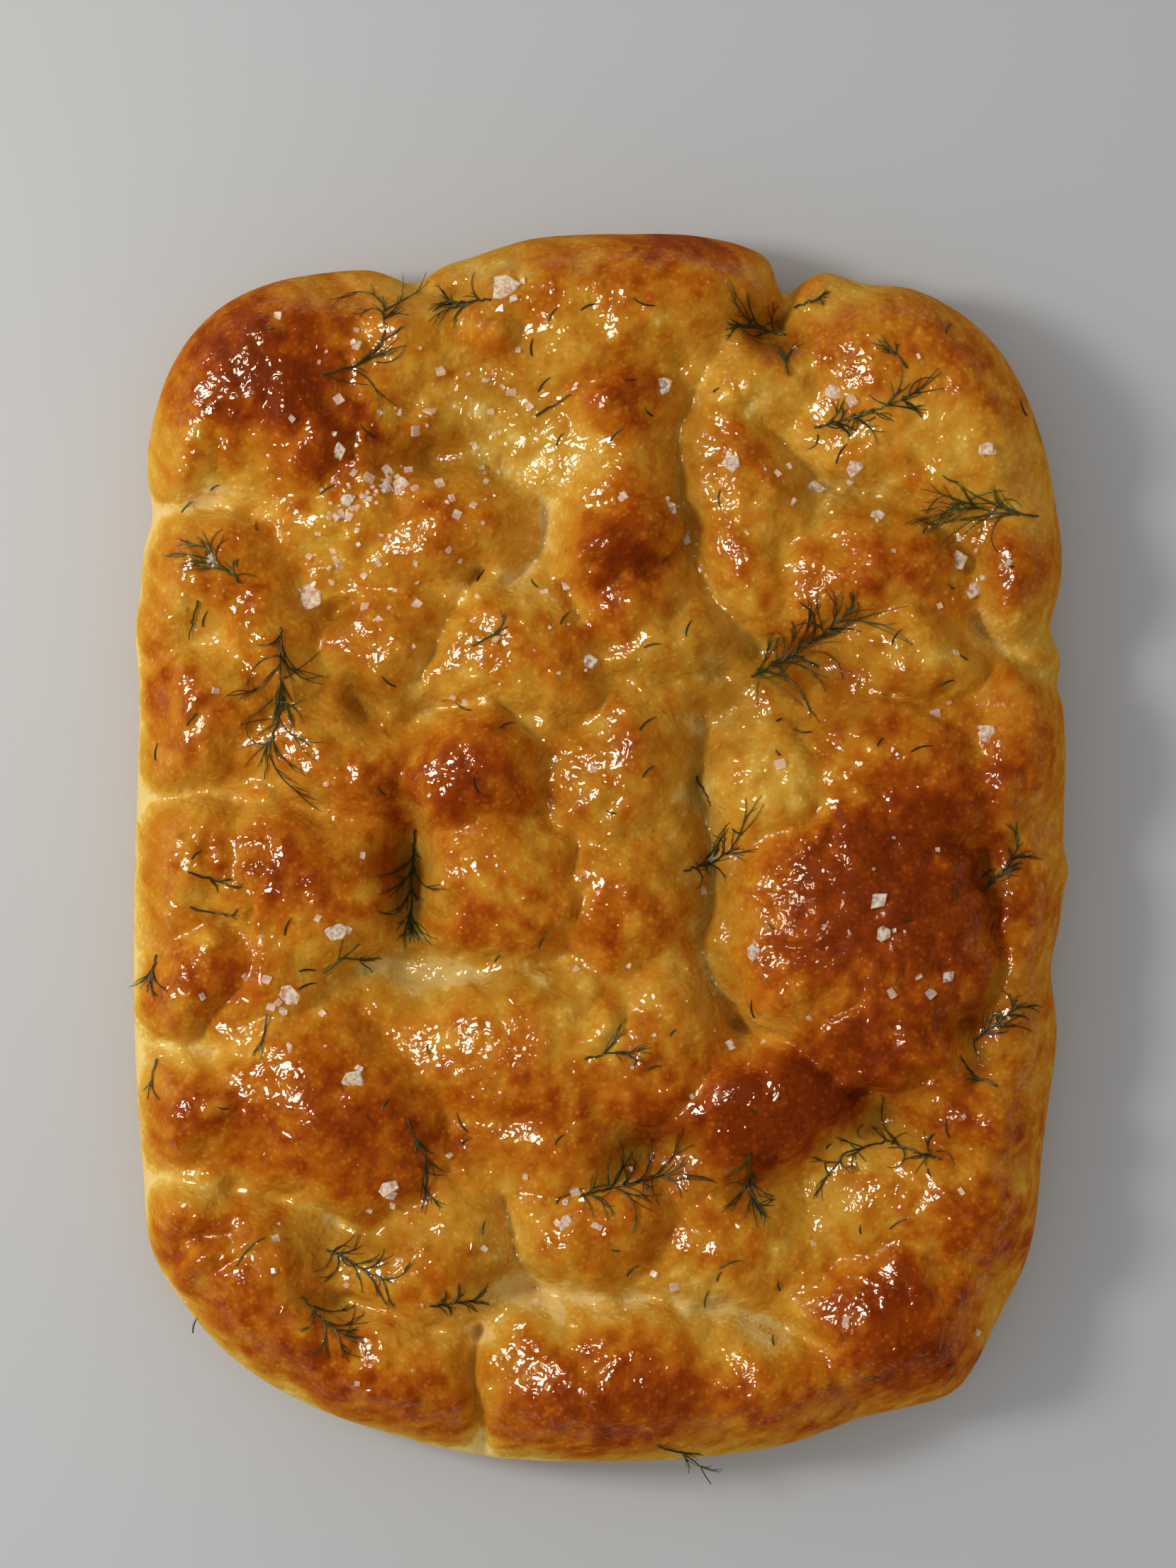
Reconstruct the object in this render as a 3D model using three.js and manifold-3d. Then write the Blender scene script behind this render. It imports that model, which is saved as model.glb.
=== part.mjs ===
// Focaccia: one whole slab of dimpled, oiled flat bread with salt flakes and dill.
// Millimetres, +Z up, long side along Y. The loaf stands on z = 0.
import * as THREE from "three";
import Module from "manifold-3d";

const wasm = await Module();
wasm.setup();

// The slab.
const HALF_WIDTH = 104.5;
const TOP_LENGTH = 131;
const BOTTOM_LENGTH = 138;
// How square each corner of the outline is: 2 is an ellipse.
const CORNER_TOP_LEFT = 5.4;
const CORNER_TOP_RIGHT = 4.6;
const CORNER_BOTTOM_LEFT = 3.7;
const CORNER_BOTTOM_RIGHT = 3.65;
// The slab is widest at SIDE_HEIGHT, curves over to the top in SHOULDER and tucks in by TUCK at its foot.
const SIDE_HEIGHT = 13;
const SHOULDER = 17;
const TUCK = 4;
// Height of the valleys between the pillows of dough, and how softly pillows run into one another.
const VALLEY_HEIGHT = 27;
const BLEND = 2.4;
const FOLD_SLOPE = 2;
const HOLLOW_POWER = 2.4;
const DOME_POWER = 0.8;

// Mesh of the slab: cells across and along, rings that follow the shoulder, rings down the side.
const CELLS_ACROSS = 50;
const CELLS_ALONG = 62;
const SHOULDER_RINGS = 5;
const SIDE_RINGS = 4;

// The part's frame has its origin in the middle of the whole part's box.
const SHIFT_X = -0.6;
const SHIFT_Y = 2.1;

// Bulges and dents of the rim: place, out (+) or in (-), half length along the rim, how abrupt.
const RIM = [
  [6, 131, 7.3, 27, 4],
  [43.8, 128, -10, 3, 2],
  [-43, 128, -5, 4, 2],
  [61, 126, -1.9, 5, 2],
  [103, 78, 0.9, 14, 2],
  [105, 65, 0.7, 7, 2],
  [102, 50, -3, 4, 2],
  [103, 36, -1.5, 2.5, 2],
  [105, 20, 0.8, 10, 2],
  [105, -6, 1.2, 3, 2],
  [101, -29, -3, 7, 2],
  [99, -68, -3, 16, 2],
  [80, -122, 1.4, 6, 2],
  [50, -132, -2.6, 18, 2],
  [-60, -128, -5.2, 22, 2.5],
  [-101, -90, 2.5, 9, 2],
  [-103, 30, -1, 20, 2],
  [-105, 48, 0.9, 5, 2],
  [-103, 62, -1, 8, 2],
  [-100, 76, -3.8, 5, 2],
  [60, -128, -2.8, 9, 2],
  [90, -106, -1.8, 8, 2],
  [-84, -112, -1.2, 16, 2],
];

// Pillows and bubbles of risen dough: x, y, half sizes, turn in degrees, rise, fall-off at the edge.
const PILLOWS = {
  corner_top_left: [-74, 103, 33, 29, 0, 11, 1.1],
  corner_bubble: [-67, 95, 18, 16, 20, 13, 1.5],
  shoulder_top_left: [-92, 90, 13, 18, 0, 8, 1.3],
  left_upper: [-86, 57, 21, 18, 0, 8.5, 1.3],
  left_middle: [-90, 28, 18, 18, 0, 9, 1.2],
  left_bridge: [-60, 19, 28, 13, -12, 9, 1.3],
  left_ridge: [-73, 43, 13, 18, 10, 9, 1.4],
  left_palm: [-68, -9, 24, 20, -10, 11, 1],
  left_thumb: [-90, -5, 15, 17, -20, 9, 1.3],
  left_blister: [-92, -31, 13.5, 13.5, 0, 9, 0.9],
  left_low: [-73, -31, 15, 13, 0, 7.5, 1.4],
  chest: [-60, -58, 28, 24, -25, 12, 1.2],
  left_knob: [-89, -60, 15, 13, 0, 8.5, 1.2],
  rim_knob: [-93, -82, 13, 10, 10, 6.5, 1.2],
  rim_blister: [-87, -94, 6.5, 6.5, 0, 8.5, 0.8],
  corner_bottom_left: [-70, -102, 31, 18, -38, 8.5, 1.2],
  bottom_left: [-45, -119, 25, 18, -12, 9, 1.1],
  low_left_knob: [-35, -94, 20, 15, 5, 9, 1.3],
  low_middle_knob: [-2, -87, 19, 14, 0, 10, 1.2],
  bottom_middle: [3, -121, 34, 20, 0, 10.5, 0.9],
  bottom_right: [34, -121, 27, 16, 8, 9, 1.2],
  low_right_knob: [29, -90, 18, 13, 0, 6.5, 1.6],
  corner_bottom_right: [67, -107, 25, 19, 15, 11.5, 1.1],
  right_low: [76, -81, 28, 16, 0, 9.5, 1.1],
  right_low_rim: [86, -60, 18, 10, 0, 8, 1.3],
  dark_ridge: [38, -57, 27, 12, 28, 11, 1],
  great_bubble: [58, -21, 30, 35, 10, 15.5, 0.62],
  thin_bubble: [44, -31, 12, 11, 0, 16.5, 0.9],
  great_lobe: [69, -46, 16, 13, -30, 13, 0.8],
  upper_pale: [39, 14, 15, 14, 0, 11, 0.8],
  upper_right: [64, 14, 30, 19, 0, 11, 1],
  thin_knob: [70, 40, 15, 12, 0, 9, 1.1],
  right_upper: [62, 60, 25, 14, 0, 8.5, 1.3],
  right_rim_high: [96, 62, 13, 17, 0, 8, 1.2],
  right_rim_middle: [94, 22, 14, 23, 0, 8.5, 1.2],
  right_rim_low: [95, -24, 13, 30, 0, 6.5, 1.3],
  corner_top_right: [76, 102, 34, 28, -20, 11.5, 1],
  right_arm: [66, 84, 24, 11, -18, 7.5, 1.6],
  top_inner_right: [38, 104, 20, 11, 25, 7.5, 1.4],
  middle_right_small: [32, 80, 15, 20, 10, 7, 1.3],
  middle_right_low: [36, 62, 15, 13, 0, 6, 1.5],
  top_middle: [2, 122, 46, 20, 0, 10, 0.9],
  top_knob: [-22, 112, 9.5, 8, 0, 11.5, 1.3],
  top_left_inner: [-42, 112, 16, 14, 0, 7, 1.5],
  brow: [4, 97, 13, 11, 0, 9, 1.3],
  nose: [4, 82, 13, 16, 0, 8, 1.4],
  dark_bubble: [4, 66, 14.5, 13.5, 0, 14, 0.95],
  below_dark: [9, 53, 16, 11, 0, 9, 1.4],
  cheek_left: [-33, 68, 21, 16, 0, 8.5, 1.4],
  pale_left: [-57, 72, 18, 14, 0, 6.5, 1.6],
  left_knuckle: [-47, 44, 15, 17, 15, 9, 1.2],
  middle_pillow: [-18, 43, 24, 18, 20, 9.5, 1.2],
  middle_olive: [17, 43, 20, 12, 0, 7.5, 1.4],
  dark_knob: [-27, 15, 16, 15, 10, 13.5, 0.85],
  heart: [-20, -10, 20, 17, 0, 11.5, 0.75],
  heart_right: [4, -12, 18, 17, 0, 9.5, 1.2],
  pale_plain: [7, 14, 18, 20, 0, 7.5, 1.6],
  belly: [-12, -46, 30, 22, 0, 9.5, 1.1],
  belly_right: [10, -48, 22, 19, 0, 9, 1.2],
  pale_blister: [1, -41, 8, 8, 0, 10.5, 1],
  belly_low: [-8, -66, 26, 11, 0, 7, 1.6],
};

// Finger dimples and hollows: x, y, half sizes, turn in degrees, depth.
const DIMPLE_EDGE = 0.62;
const DIMPLES = {
  slot: [-42.5, -8, 5.5, 14.5, 0, 14.5],
  slot_foot: [-41, -26, 8, 5, 0, 6],
  dill_hollow_left: [-36, 86, 9, 5, 10, 6],
  pale_valley: [-22, 84, 10, 14, 30, 3],
  slit_upper: [-57, 52, 5.5, 2.6, 15, 5],
  slit_lower: [-53, 32, 3.5, 7, 25, 7],
  valley_end: [27, 34, 8, 8, 0, 6],
  dill_hollow_right: [46, 40, 13, 8, 0, 6],
  cleft_hollow: [38, 115, 9, 5, -15, 8],
  top_hollow: [-30, 121, 6, 3.6, 0, 4],
  dark_hollow: [9, -69, 10, 6, 0, 8],
  dill_hollow_low: [36, -76, 8, 6, 0, 4],
  wet_hollow: [46, -77, 6, 7, 0, 4],
  under_bubble: [63, -62, 8, 6, 0, 7],
  low_valley: [-52, -86, 14, 5, 0, 4.5],
  low_hollow: [-60, -101, 7, 4, -10, 3.5],
  dot_upper: [71, 84, 3.6, 3, 0, 2.4],
  dot_lower: [41, 66, 4.5, 3, 20, 3],
  dent_upper: [55, 73, 6, 2, 0, 1.5],
  dent_left: [-89, 47, 6, 8, 0, 4],
  dent_middle: [-6, 27, 8, 2.6, 0, 2.4],
  dent_round: [-28, 60, 4, 3, 0, 3],
  thumb_dent: [-88, -13, 6, 4, 0, 3],
  rim_dent: [-97, -29, 4, 5, 0, 2.5],
};

// Creases where pillows meet: half width, depth, then the x, y of each bend.
const CREASES = {
  below_corner: [2.5, 4, -103, 74, -88, 76, -78, 73],
  left_waist: [2.5, 4, -105, 10, -90, 11, -78, 9, -60, 8],
  left_knee: [2.5, 3, -104, -44, -92, -45, -78, -48],
  left_hip: [2.5, 3, -102, -74, -88, -76, -70, -79, -58, -83],
  middle_valley: [5, 5, -52, -28, -38, -31, -20, -29, -10, -26],
  bottom_line: [2.6, 4.5, -18, -99, -5, -100, 10, -101, 20, -104.5, 29, -103, 40, -107, 50, -111],
  bottom_cleft: [1.8, 6.5, -27, -108, -28.5, -116, -26.5, -126, -25, -137],
  bottom_left_line: [2.2, 3.5, -27, -109, -36, -108, -46, -104, -58, -101],
  knob_left: [2, 3.5, -21, -80, -19, -90, -14, -98],
  top_cleft: [1.8, 9, 44, 132, 43, 123, 41, 117],
  top_left_cleft: [2.5, 5, -43, 130, -40, 125, -33, 122],
  long_valley: [3, 4.5, 27, 110, 22, 101, 18, 93, 18.5, 80, 20, 66, 27, 52, 35, 43],
  brow_line: [2.4, 3.5, 34, 97, 42, 88, 50, 80, 60, 78.5, 70, 75, 78, 68, 84, 60, 86, 48],
  right_cleft: [2, 5, 84, 50, 90, 43, 97, 38, 105, 36],
  great_edge: [3, 7, 22, 27, 22, 12, 25, 0, 25, -12, 22, -22, 26, -33, 31, -40],
  great_top: [2.5, 3, 31, 30, 24, 25],
  dark_knob_top: [2, 2.5, -41, 30, -28, 30, -14, 28],
  diagonal: [2.2, 3.5, -27, 60, -34, 48, -40, 36],
  cheek_edge: [2.6, 4, -12, 76, -13, 65, -20, 58],
  nose_edge: [2, 3, -8, 60, -5, 50],
  ridge_top: [2, 5, 31, -41, 42, -44, 52, -52],
  olive_line: [1.6, 2, 4, 37, 15, 36, 28, 38],
  dark_chin: [1.4, 1.6, -2, 61, 6, 60, 14, 63],
};

// Salt flakes baked on to the crust: x, y, width.
const FLAKE_CORNERS = 5;
const FLAKE_THICKNESS = 2.2;
const FLAKE_SUNK = 1.5;
const FLAKES = [
  [-20.5, 122.5, 6], [85.5, 86.5, 4], [29.5, 83.5, 4], [57, 83, 4.5], [48.5, 79, 4], [52, 99.5, 4],
  [14.5, 101.5, 4], [16, 74, 3.5], [62, 72.5, 3], [80, 62.5, 5], [83.5, 56, 4.5], [-57.5, 86.5, 4],
  [-44, 79, 4], [-55.5, 75.5, 3], [-64.5, 54.5, 6], [-2, 40, 3.5], [86, 23.5, 4], [61, -13.5, 4],
  [62, -20.5, 3.5], [76.5, -30, 3], [34, -24.5, 3.5], [-57.5, -20, 5], [-68, -34, 5],
  [-54, -53, 5], [-46, -76, 5.5], [-7, -84, 4],
];

// Single threads of dill stuck to the crust: x, y, length, direction in degrees.
const THREAD_RADIUS = 0.35;
const BIT_BEND = 0.8;
const BITS = [
  [12, 43, 4, 10], [20, 47, 4, 70], [11, 26, 5, 40], [27, 76, 4, 90], [-2, 118, 4, 20], [10, 119, 5, 160],
  [78, 114, 4, 60], [95, 97, 4, 110], [-76, -90, 9, 45], [-60, 78, 4, 30], [-51, 91, 5, 140], [29, -93, 5, 20],
  [24, -101, 4, 80], [-30, -62, 5, 120], [-64, -32, 4, 20], [54, 86, 5, 60], [34, -37, 4, 100], [4, 90, 4, 45],
  [71, 20, 5, 15], [-30, 30, 4, 150], [-12, -22, 4, 60], [66, -84, 5, 30], [-98, 20, 4, 80], [60, -118, 4, 10],
];

// Dill sprigs: threads, thread length, spread in degrees, bare share of the stem, then the stem's bends.
const SPRIG_GAP = 0.35;
const PAST_RIM = 18;
const STEM_RADIUS = 0.42;
// The last thread leaves before this share of the stem, whose end is one more thread.
const STEM_END = 0.94;
// Each pair of threads leaves from a short length of stem, and from most of it where pairs are close.
const FORK_LENGTH = 1.3;
const FORK_SHARE = 0.6;
const CLEAR_OF_THREADS = 0.8;
const CLEAR_OF_STEM = 0.85;
const STEEPEST = 0.8;
const THREAD_CURL = 50;
const SPRIGS = [
  [10, 9, 55, 0.2, -61, 103, -52, 106, -47, 112, -48, 122],
  [6, 6, 50, 0.1, -24, 120, -34, 121],
  [8, 7, 60, 0.1, 42, 114, 36, 116, 30, 115],
  [5, 4, 45, 0.3, 44, 120, 51, 122],
  [4, 5, 40, 0.2, 42, 103, 41, 109],
  [4, 5, 40, 0.2, 68, 104, 64, 109],
  [12, 8, 60, 0, 48, 92, 60, 94.5, 69, 98],
  [11, 12, 38, 0.1, 98, 72.5, 89, 73, 78, 76],
  [7, 7, 50, 0.1, -79, 57, -84, 61, -88, 66],
  [2, 3, 40, 0.3, -88.5, 53, -91, 45],
  [13, 11, 55, 0, -70, 47, -70, 30, -74, 14],
  [3, 4, 40, 0.3, -90, -7, -79, -10.5],
  [3, 4, 35, 0.3, -90, -14.5, -80, -17],
  [9, 6, 40, 0.1, -41, 3, -42, -10, -42, -22],
  [3, 4, 50, 0.2, -61, -29, -55, -25, -50, -29],
  [2, 3, 40, 0.3, -73, -38, -74, -48],
  [3, 5, 60, 0.1, -98, -25, -100, -33],
  [2, 3, 40, 0.3, -98, -48, -100, -57],
  [4, 5, 60, 0.1, -3, -48, 5, -46, 10, -49],
  [6, 6, 45, 0.1, -42, -61, -38, -70, -39, -79],
  [12, 8, 60, 0, -4, -78, 8, -75, 19, -73],
  [7, 6, 50, 0, 33, -68, 33, -76, 36, -83],
  [11, 7, 55, 0, 75, -70, 64, -66, 54, -69, 48, -78],
  [8, 7, 55, 0, -60, -90, -52, -94, -45, -97],
  [7, 6, 50, 0.1, -65, -100, -60, -105, -53, -110],
  [6, 5, 50, 0.1, -37, -102, -27, -101],
  [7, 6, 45, 0.1, 85, -11, 90, -6, 94, 0],
  [8, 6, 50, 0, 83, -44, 88, -40, 93, -36],
  [2, 4, 40, 0.2, 88, -54, 81, -51],
  [7, 8, 60, 0.1, 19, -6.5, 26, -4, 31, -1],
  [1, 3, 30, 0.4, 22, 15, 25, 8],
  [17, 11, 60, 0, 34, 37, 45, 43, 58, 52],
  [3, 4, 45, 0.2, 13, -133, 21, -136.5, 25, -142.5],
  [2, 4, 45, 0.2, -28, 43, -20, 47],
  [2, 3, 40, 0.3, -14, 95, -6, 99.5],
];

const DEGREES = Math.PI / 180;

// One seeded stream of numbers from 0 to 1.
function dice(seed) {
  const modulus = 2147483647;
  let state = seed;
  return () => {
    state = (state * 16807) % modulus;
    return state / modulus;
  };
}

function power(base, exponent) {
  return Math.pow(Math.abs(base), exponent);
}

// Distance from the middle to the rim in a direction, at the widest height.
function outlineRadius(angle) {
  const c = Math.cos(angle);
  const s = Math.sin(angle);
  const length = s > 0 ? TOP_LENGTH : BOTTOM_LENGTH;
  const upper = c > 0 ? CORNER_TOP_RIGHT : CORNER_TOP_LEFT;
  const lower = c > 0 ? CORNER_BOTTOM_RIGHT : CORNER_BOTTOM_LEFT;
  const n = s > 0 ? upper : lower;
  let radius = Math.pow(power(c / HALF_WIDTH, n) + power(s / length, n), -1 / n);
  const x = radius * c;
  const y = radius * s;
  for (const [rimX, rimY, out, half, abrupt] of RIM) {
    const away = Math.hypot(x - rimX, y - rimY) / half;
    radius += out * Math.exp(-0.5 * Math.pow(away, abrupt));
  }
  return radius;
}

// The larger of two heights, rounded where they cross.
function softMax(a, b) {
  const h = Math.min(1, Math.max(0, 0.5 + (0.5 * (a - b)) / BLEND));
  return b + (a - b) * h + BLEND * h * (1 - h);
}

// Distance from a turned ellipse's middle: 1 on the ellipse.
function ellipseDistance(x, y, [middleX, middleY, halfX, halfY, turn]) {
  const c = Math.cos(turn * DEGREES);
  const s = Math.sin(turn * DEGREES);
  const dx = x - middleX;
  const dy = y - middleY;
  return Math.hypot((dx * c + dy * s) / halfX, (dy * c - dx * s) / halfY);
}

function creaseDistance(x, y, bends) {
  let nearest = Infinity;
  for (let i = 0; i + 3 < bends.length; i += 2) {
    const alongX = bends[i + 2] - bends[i];
    const alongY = bends[i + 3] - bends[i + 1];
    const dot = (x - bends[i]) * alongX + (y - bends[i + 1]) * alongY;
    const t = Math.min(1, Math.max(0, dot / (alongX ** 2 + alongY ** 2)));
    nearest = Math.min(nearest, Math.hypot(x - bends[i] - t * alongX, y - bends[i + 1] - t * alongY));
  }
  return nearest;
}

// Slow waves that keep the pillows from being true ellipses.
function warp(x, y) {
  const waveX = 1.9 * Math.sin(y / 8.3 + 1.1) + 1.2 * Math.sin((x + y) / 5.1 + 0.4);
  const waveY = 1.9 * Math.sin(x / 7.7 + 2.3) + 1.2 * Math.sin((x - y) / 5.7 + 1.9);
  const smallX = 0.8 * Math.sin((x - 1.7 * y) / 3.7);
  const smallY = 0.8 * Math.sin((1.6 * x + y) / 3.9 + 0.8);
  return [x + waveX + smallX, y + waveY + smallY];
}

// Height of the crust above the valleys.
function relief(x, y) {
  let height = 0;
  const [warpedX, warpedY] = warp(x, y);
  for (const pillow of Object.values(PILLOWS)) {
    const [rise, edge] = pillow.slice(5);
    const q = ellipseDistance(warpedX, warpedY, pillow);
    const dome = rise * Math.pow(Math.max(0, 1 - q * q), DOME_POWER * edge);
    const fall = FOLD_SLOPE * Math.min(2, Math.max(0, q - 1));
    height = softMax(height, dome - fall);
  }
  for (const dimple of Object.values(DIMPLES)) {
    const q = ellipseDistance(x, y, dimple);
    height -= dimple[5] * Math.exp(-0.5 * Math.pow(q / DIMPLE_EDGE, HOLLOW_POWER));
  }
  for (const [half, depth, ...bends] of Object.values(CREASES)) {
    height -= depth / (1 + Math.pow(creaseDistance(x, y, bends) / half, HOLLOW_POWER));
  }
  return height;
}

// A point of the slab's skin from its direction, its distance in from the rim and its share of full height.
function skinPoint(angle, inset, share) {
  const radius = outlineRadius(angle) - inset;
  const x = radius * Math.cos(angle);
  const y = radius * Math.sin(angle);
  const z = SIDE_HEIGHT + (VALLEY_HEIGHT + relief(x, y) - SIDE_HEIGHT) * share;
  return new THREE.Vector3(x, y, z);
}

// The top: a grid whose outer rings turn over the shoulder.
function topPoint(i, j) {
  const ring = Math.min(i, CELLS_ACROSS - i, j, CELLS_ALONG - j, SHOULDER_RINGS);
  const u = (2 * i - CELLS_ACROSS) / (CELLS_ACROSS - 2 * ring);
  const v = (2 * j - CELLS_ALONG) / (CELLS_ALONG - 2 * ring);
  const reach = Math.max(Math.abs(u), Math.abs(v));
  const length = v > 0 ? TOP_LENGTH : BOTTOM_LENGTH;
  const angle = Math.atan2(v * length, u * HALF_WIDTH);
  if (ring < SHOULDER_RINGS) {
    const turn = (ring / SHOULDER_RINGS) * 90 * DEGREES;
    return skinPoint(angle, SHOULDER * (1 - Math.cos(turn)), Math.sin(turn));
  }
  const radius = (outlineRadius(angle) - SHOULDER) * reach;
  return skinPoint(angle, outlineRadius(angle) - radius, 1);
}

// Grid places round the outermost ring, anticlockwise from above.
function rimPlaces() {
  const places = [];
  for (let i = 0; i < CELLS_ACROSS; i += 1) places.push([i, 0]);
  for (let j = 0; j < CELLS_ALONG; j += 1) places.push([CELLS_ACROSS, j]);
  for (let i = CELLS_ACROSS; i > 0; i -= 1) places.push([i, CELLS_ALONG]);
  for (let j = CELLS_ALONG; j > 0; j -= 1) places.push([0, j]);
  return places;
}

// The bare slab as points and triangles; the first topCount triangles are its top.
function slabMesh() {
  const points = [];
  const triangles = [];
  const index = (i, j) => i * (CELLS_ALONG + 1) + j;
  for (let i = 0; i <= CELLS_ACROSS; i += 1) {
    for (let j = 0; j <= CELLS_ALONG; j += 1) points.push(topPoint(i, j));
  }
  for (let i = 0; i < CELLS_ACROSS; i += 1) {
    for (let j = 0; j < CELLS_ALONG; j += 1) {
      const [a, b, c, d] = [index(i, j), index(i + 1, j), index(i + 1, j + 1), index(i, j + 1)];
      // Each cell is split along its more level diagonal, so creases stay unbroken.
      const rising = Math.abs(points[a].z - points[c].z);
      const falling = Math.abs(points[b].z - points[d].z);
      if (rising < falling) triangles.push([a, b, c], [a, c, d]);
      else triangles.push([a, b, d], [b, c, d]);
    }
  }
  const topCount = triangles.length;
  const rim = rimPlaces().map(([i, j]) => index(i, j));
  let upper = rim;
  for (let ring = 1; ring <= SIDE_RINGS; ring += 1) {
    const turn = (ring / SIDE_RINGS) * 90 * DEGREES;
    const lower = rim.map((place) => {
      const { x, y } = points[place];
      const radius = Math.hypot(x, y);
      const scale = (radius - TUCK * (1 - Math.cos(turn))) / radius;
      return points.push(new THREE.Vector3(x * scale, y * scale, SIDE_HEIGHT * (1 - Math.sin(turn)))) - 1;
    });
    rim.forEach((_, k) => {
      const next = (k + 1) % rim.length;
      triangles.push([upper[k], lower[k], lower[next]], [upper[k], lower[next], upper[next]]);
    });
    upper = lower;
  }
  const middle = points.push(new THREE.Vector3(0, 0, 0)) - 1;
  upper.forEach((place, k) => triangles.push([middle, upper[(k + 1) % upper.length], place]));
  return { points, triangles, topCount };
}

function toSolid(points, triangles) {
  const vertProperties = new Float32Array(points.flatMap((p) => [p.x, p.y, p.z]));
  const triVerts = new Uint32Array(triangles.flat());
  return new wasm.Manifold(new wasm.Mesh({ numProp: 3, vertProperties, triVerts }));
}

const slab = slabMesh();

// Height of the faceted top over a place, or null off the slab.
function crustHeight(x, y) {
  for (const [a, b, c] of slab.triangles.slice(0, slab.topCount)) {
    const [p, q, r] = [slab.points[a], slab.points[b], slab.points[c]];
    if (Math.max(p.x, q.x, r.x) < x || Math.min(p.x, q.x, r.x) > x) continue;
    if (Math.max(p.y, q.y, r.y) < y || Math.min(p.y, q.y, r.y) > y) continue;
    const area = (q.x - p.x) * (r.y - p.y) - (r.x - p.x) * (q.y - p.y);
    const s = ((x - p.x) * (r.y - p.y) - (r.x - p.x) * (y - p.y)) / area;
    const t = ((q.x - p.x) * (y - p.y) - (x - p.x) * (q.y - p.y)) / area;
    if (s >= 0 && t >= 0 && s + t <= 1) return p.z + s * (q.z - p.z) + t * (r.z - p.z);
  }
  return null;
}

// A salt flake: an uneven low prism that follows the crust under it, partly sunk.
function flakeSolid(x, y, width, seed) {
  const roll = dice(seed);
  const turn = roll() * 360 * DEGREES;
  const points = [];
  for (const [level, scale] of [[-FLAKE_SUNK, 1], [FLAKE_THICKNESS - FLAKE_SUNK, 0.72]]) {
    const again = dice(seed + 7);
    for (let k = 0; k < FLAKE_CORNERS; k += 1) {
      const angle = turn + ((k + 0.5 * again()) / FLAKE_CORNERS) * 360 * DEGREES;
      const reach = (width / 2) * (0.8 + 0.3 * again()) * scale;
      const [px, py] = [x + reach * Math.cos(angle), y + reach * Math.sin(angle)];
      points.push(new THREE.Vector3(px, py, crustHeight(px, py) + level));
    }
  }
  const triangles = [];
  for (let k = 0; k < FLAKE_CORNERS; k += 1) {
    const next = (k + 1) % FLAKE_CORNERS;
    triangles.push([k, next, next + FLAKE_CORNERS], [k, next + FLAKE_CORNERS, k + FLAKE_CORNERS]);
    if (k > 1) {
      triangles.push([0, k, k - 1]);
      triangles.push([FLAKE_CORNERS, FLAKE_CORNERS + k - 1, FLAKE_CORNERS + k]);
    }
  }
  return toSolid(points, triangles);
}

// Three points round a place on a thread: two above to its left and right, one below.
// They stand upright, so that rings close together on a steep thread never meet.
function threadRing(place, behind, ahead, radius) {
  const heading = Math.atan2(ahead.y - behind.y, ahead.x - behind.x);
  return [150, 30, -90].map((angle) => {
    const aside = radius * Math.cos(angle * DEGREES);
    const over = radius * Math.sin(angle * DEGREES);
    const side = new THREE.Vector3(aside * Math.sin(heading), -aside * Math.cos(heading), over);
    return place.clone().add(side);
  });
}

// Joins a thread on to a hole of three corners round a base and closes it with a tip.
function growThread(points, triangles, hole, path, radius) {
  let from = hole;
  for (let k = 1; k < path.length - 1; k += 1) {
    const ring = threadRing(path[k], path[k - 1], path[k + 1], radius);
    const to = ring.map((point) => points.push(point) - 1);
    for (let corner = 0; corner < 3; corner += 1) {
      const next = (corner + 1) % 3;
      const [a, b, c, d] = [from[corner], from[next], to[next], to[corner]];
      const shorter = points[a].distanceTo(points[c]) < points[b].distanceTo(points[d]);
      if (shorter) triangles.push([a, b, c], [a, c, d]);
      else triangles.push([a, b, d], [b, c, d]);
    }
    from = to;
  }
  const tip = points.push(path[path.length - 1].clone()) - 1;
  for (let corner = 0; corner < 3; corner += 1) triangles.push([from[corner], from[(corner + 1) % 3], tip]);
}

// A single thread of dill that lies half in the crust.
function bitSolid(x, y, length, direction) {
  const [c, s] = [Math.cos(direction * DEGREES), Math.sin(direction * DEGREES)];
  const path = [-0.5, 0, 0.5].map((t) => {
    const bend = BIT_BEND * (1 - 4 * t * t);
    const [px, py] = [x + t * length * c - bend * s, y + t * length * s + bend * c];
    return new THREE.Vector3(px, py, crustHeight(px, py) + 0.1);
  });
  const points = threadRing(path[0], path[0], path[1], THREAD_RADIUS);
  const triangles = [[0, 2, 1]];
  growThread(points, triangles, [0, 1, 2], path, THREAD_RADIUS);
  return toSolid(points, triangles);
}

// Height at which a thread's middle clears the crust round a place.
function restHeight(x, y) {
  const reach = STEM_RADIUS + SPRIG_GAP;
  const around = [[0, 0], [reach, 0], [-reach, 0], [0, reach], [0, -reach]];
  const heights = around.map(([dx, dy]) => crustHeight(x + dx, y + dy)).filter((z) => z !== null);
  return heights.length ? Math.max(...heights) + reach : null;
}

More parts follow.
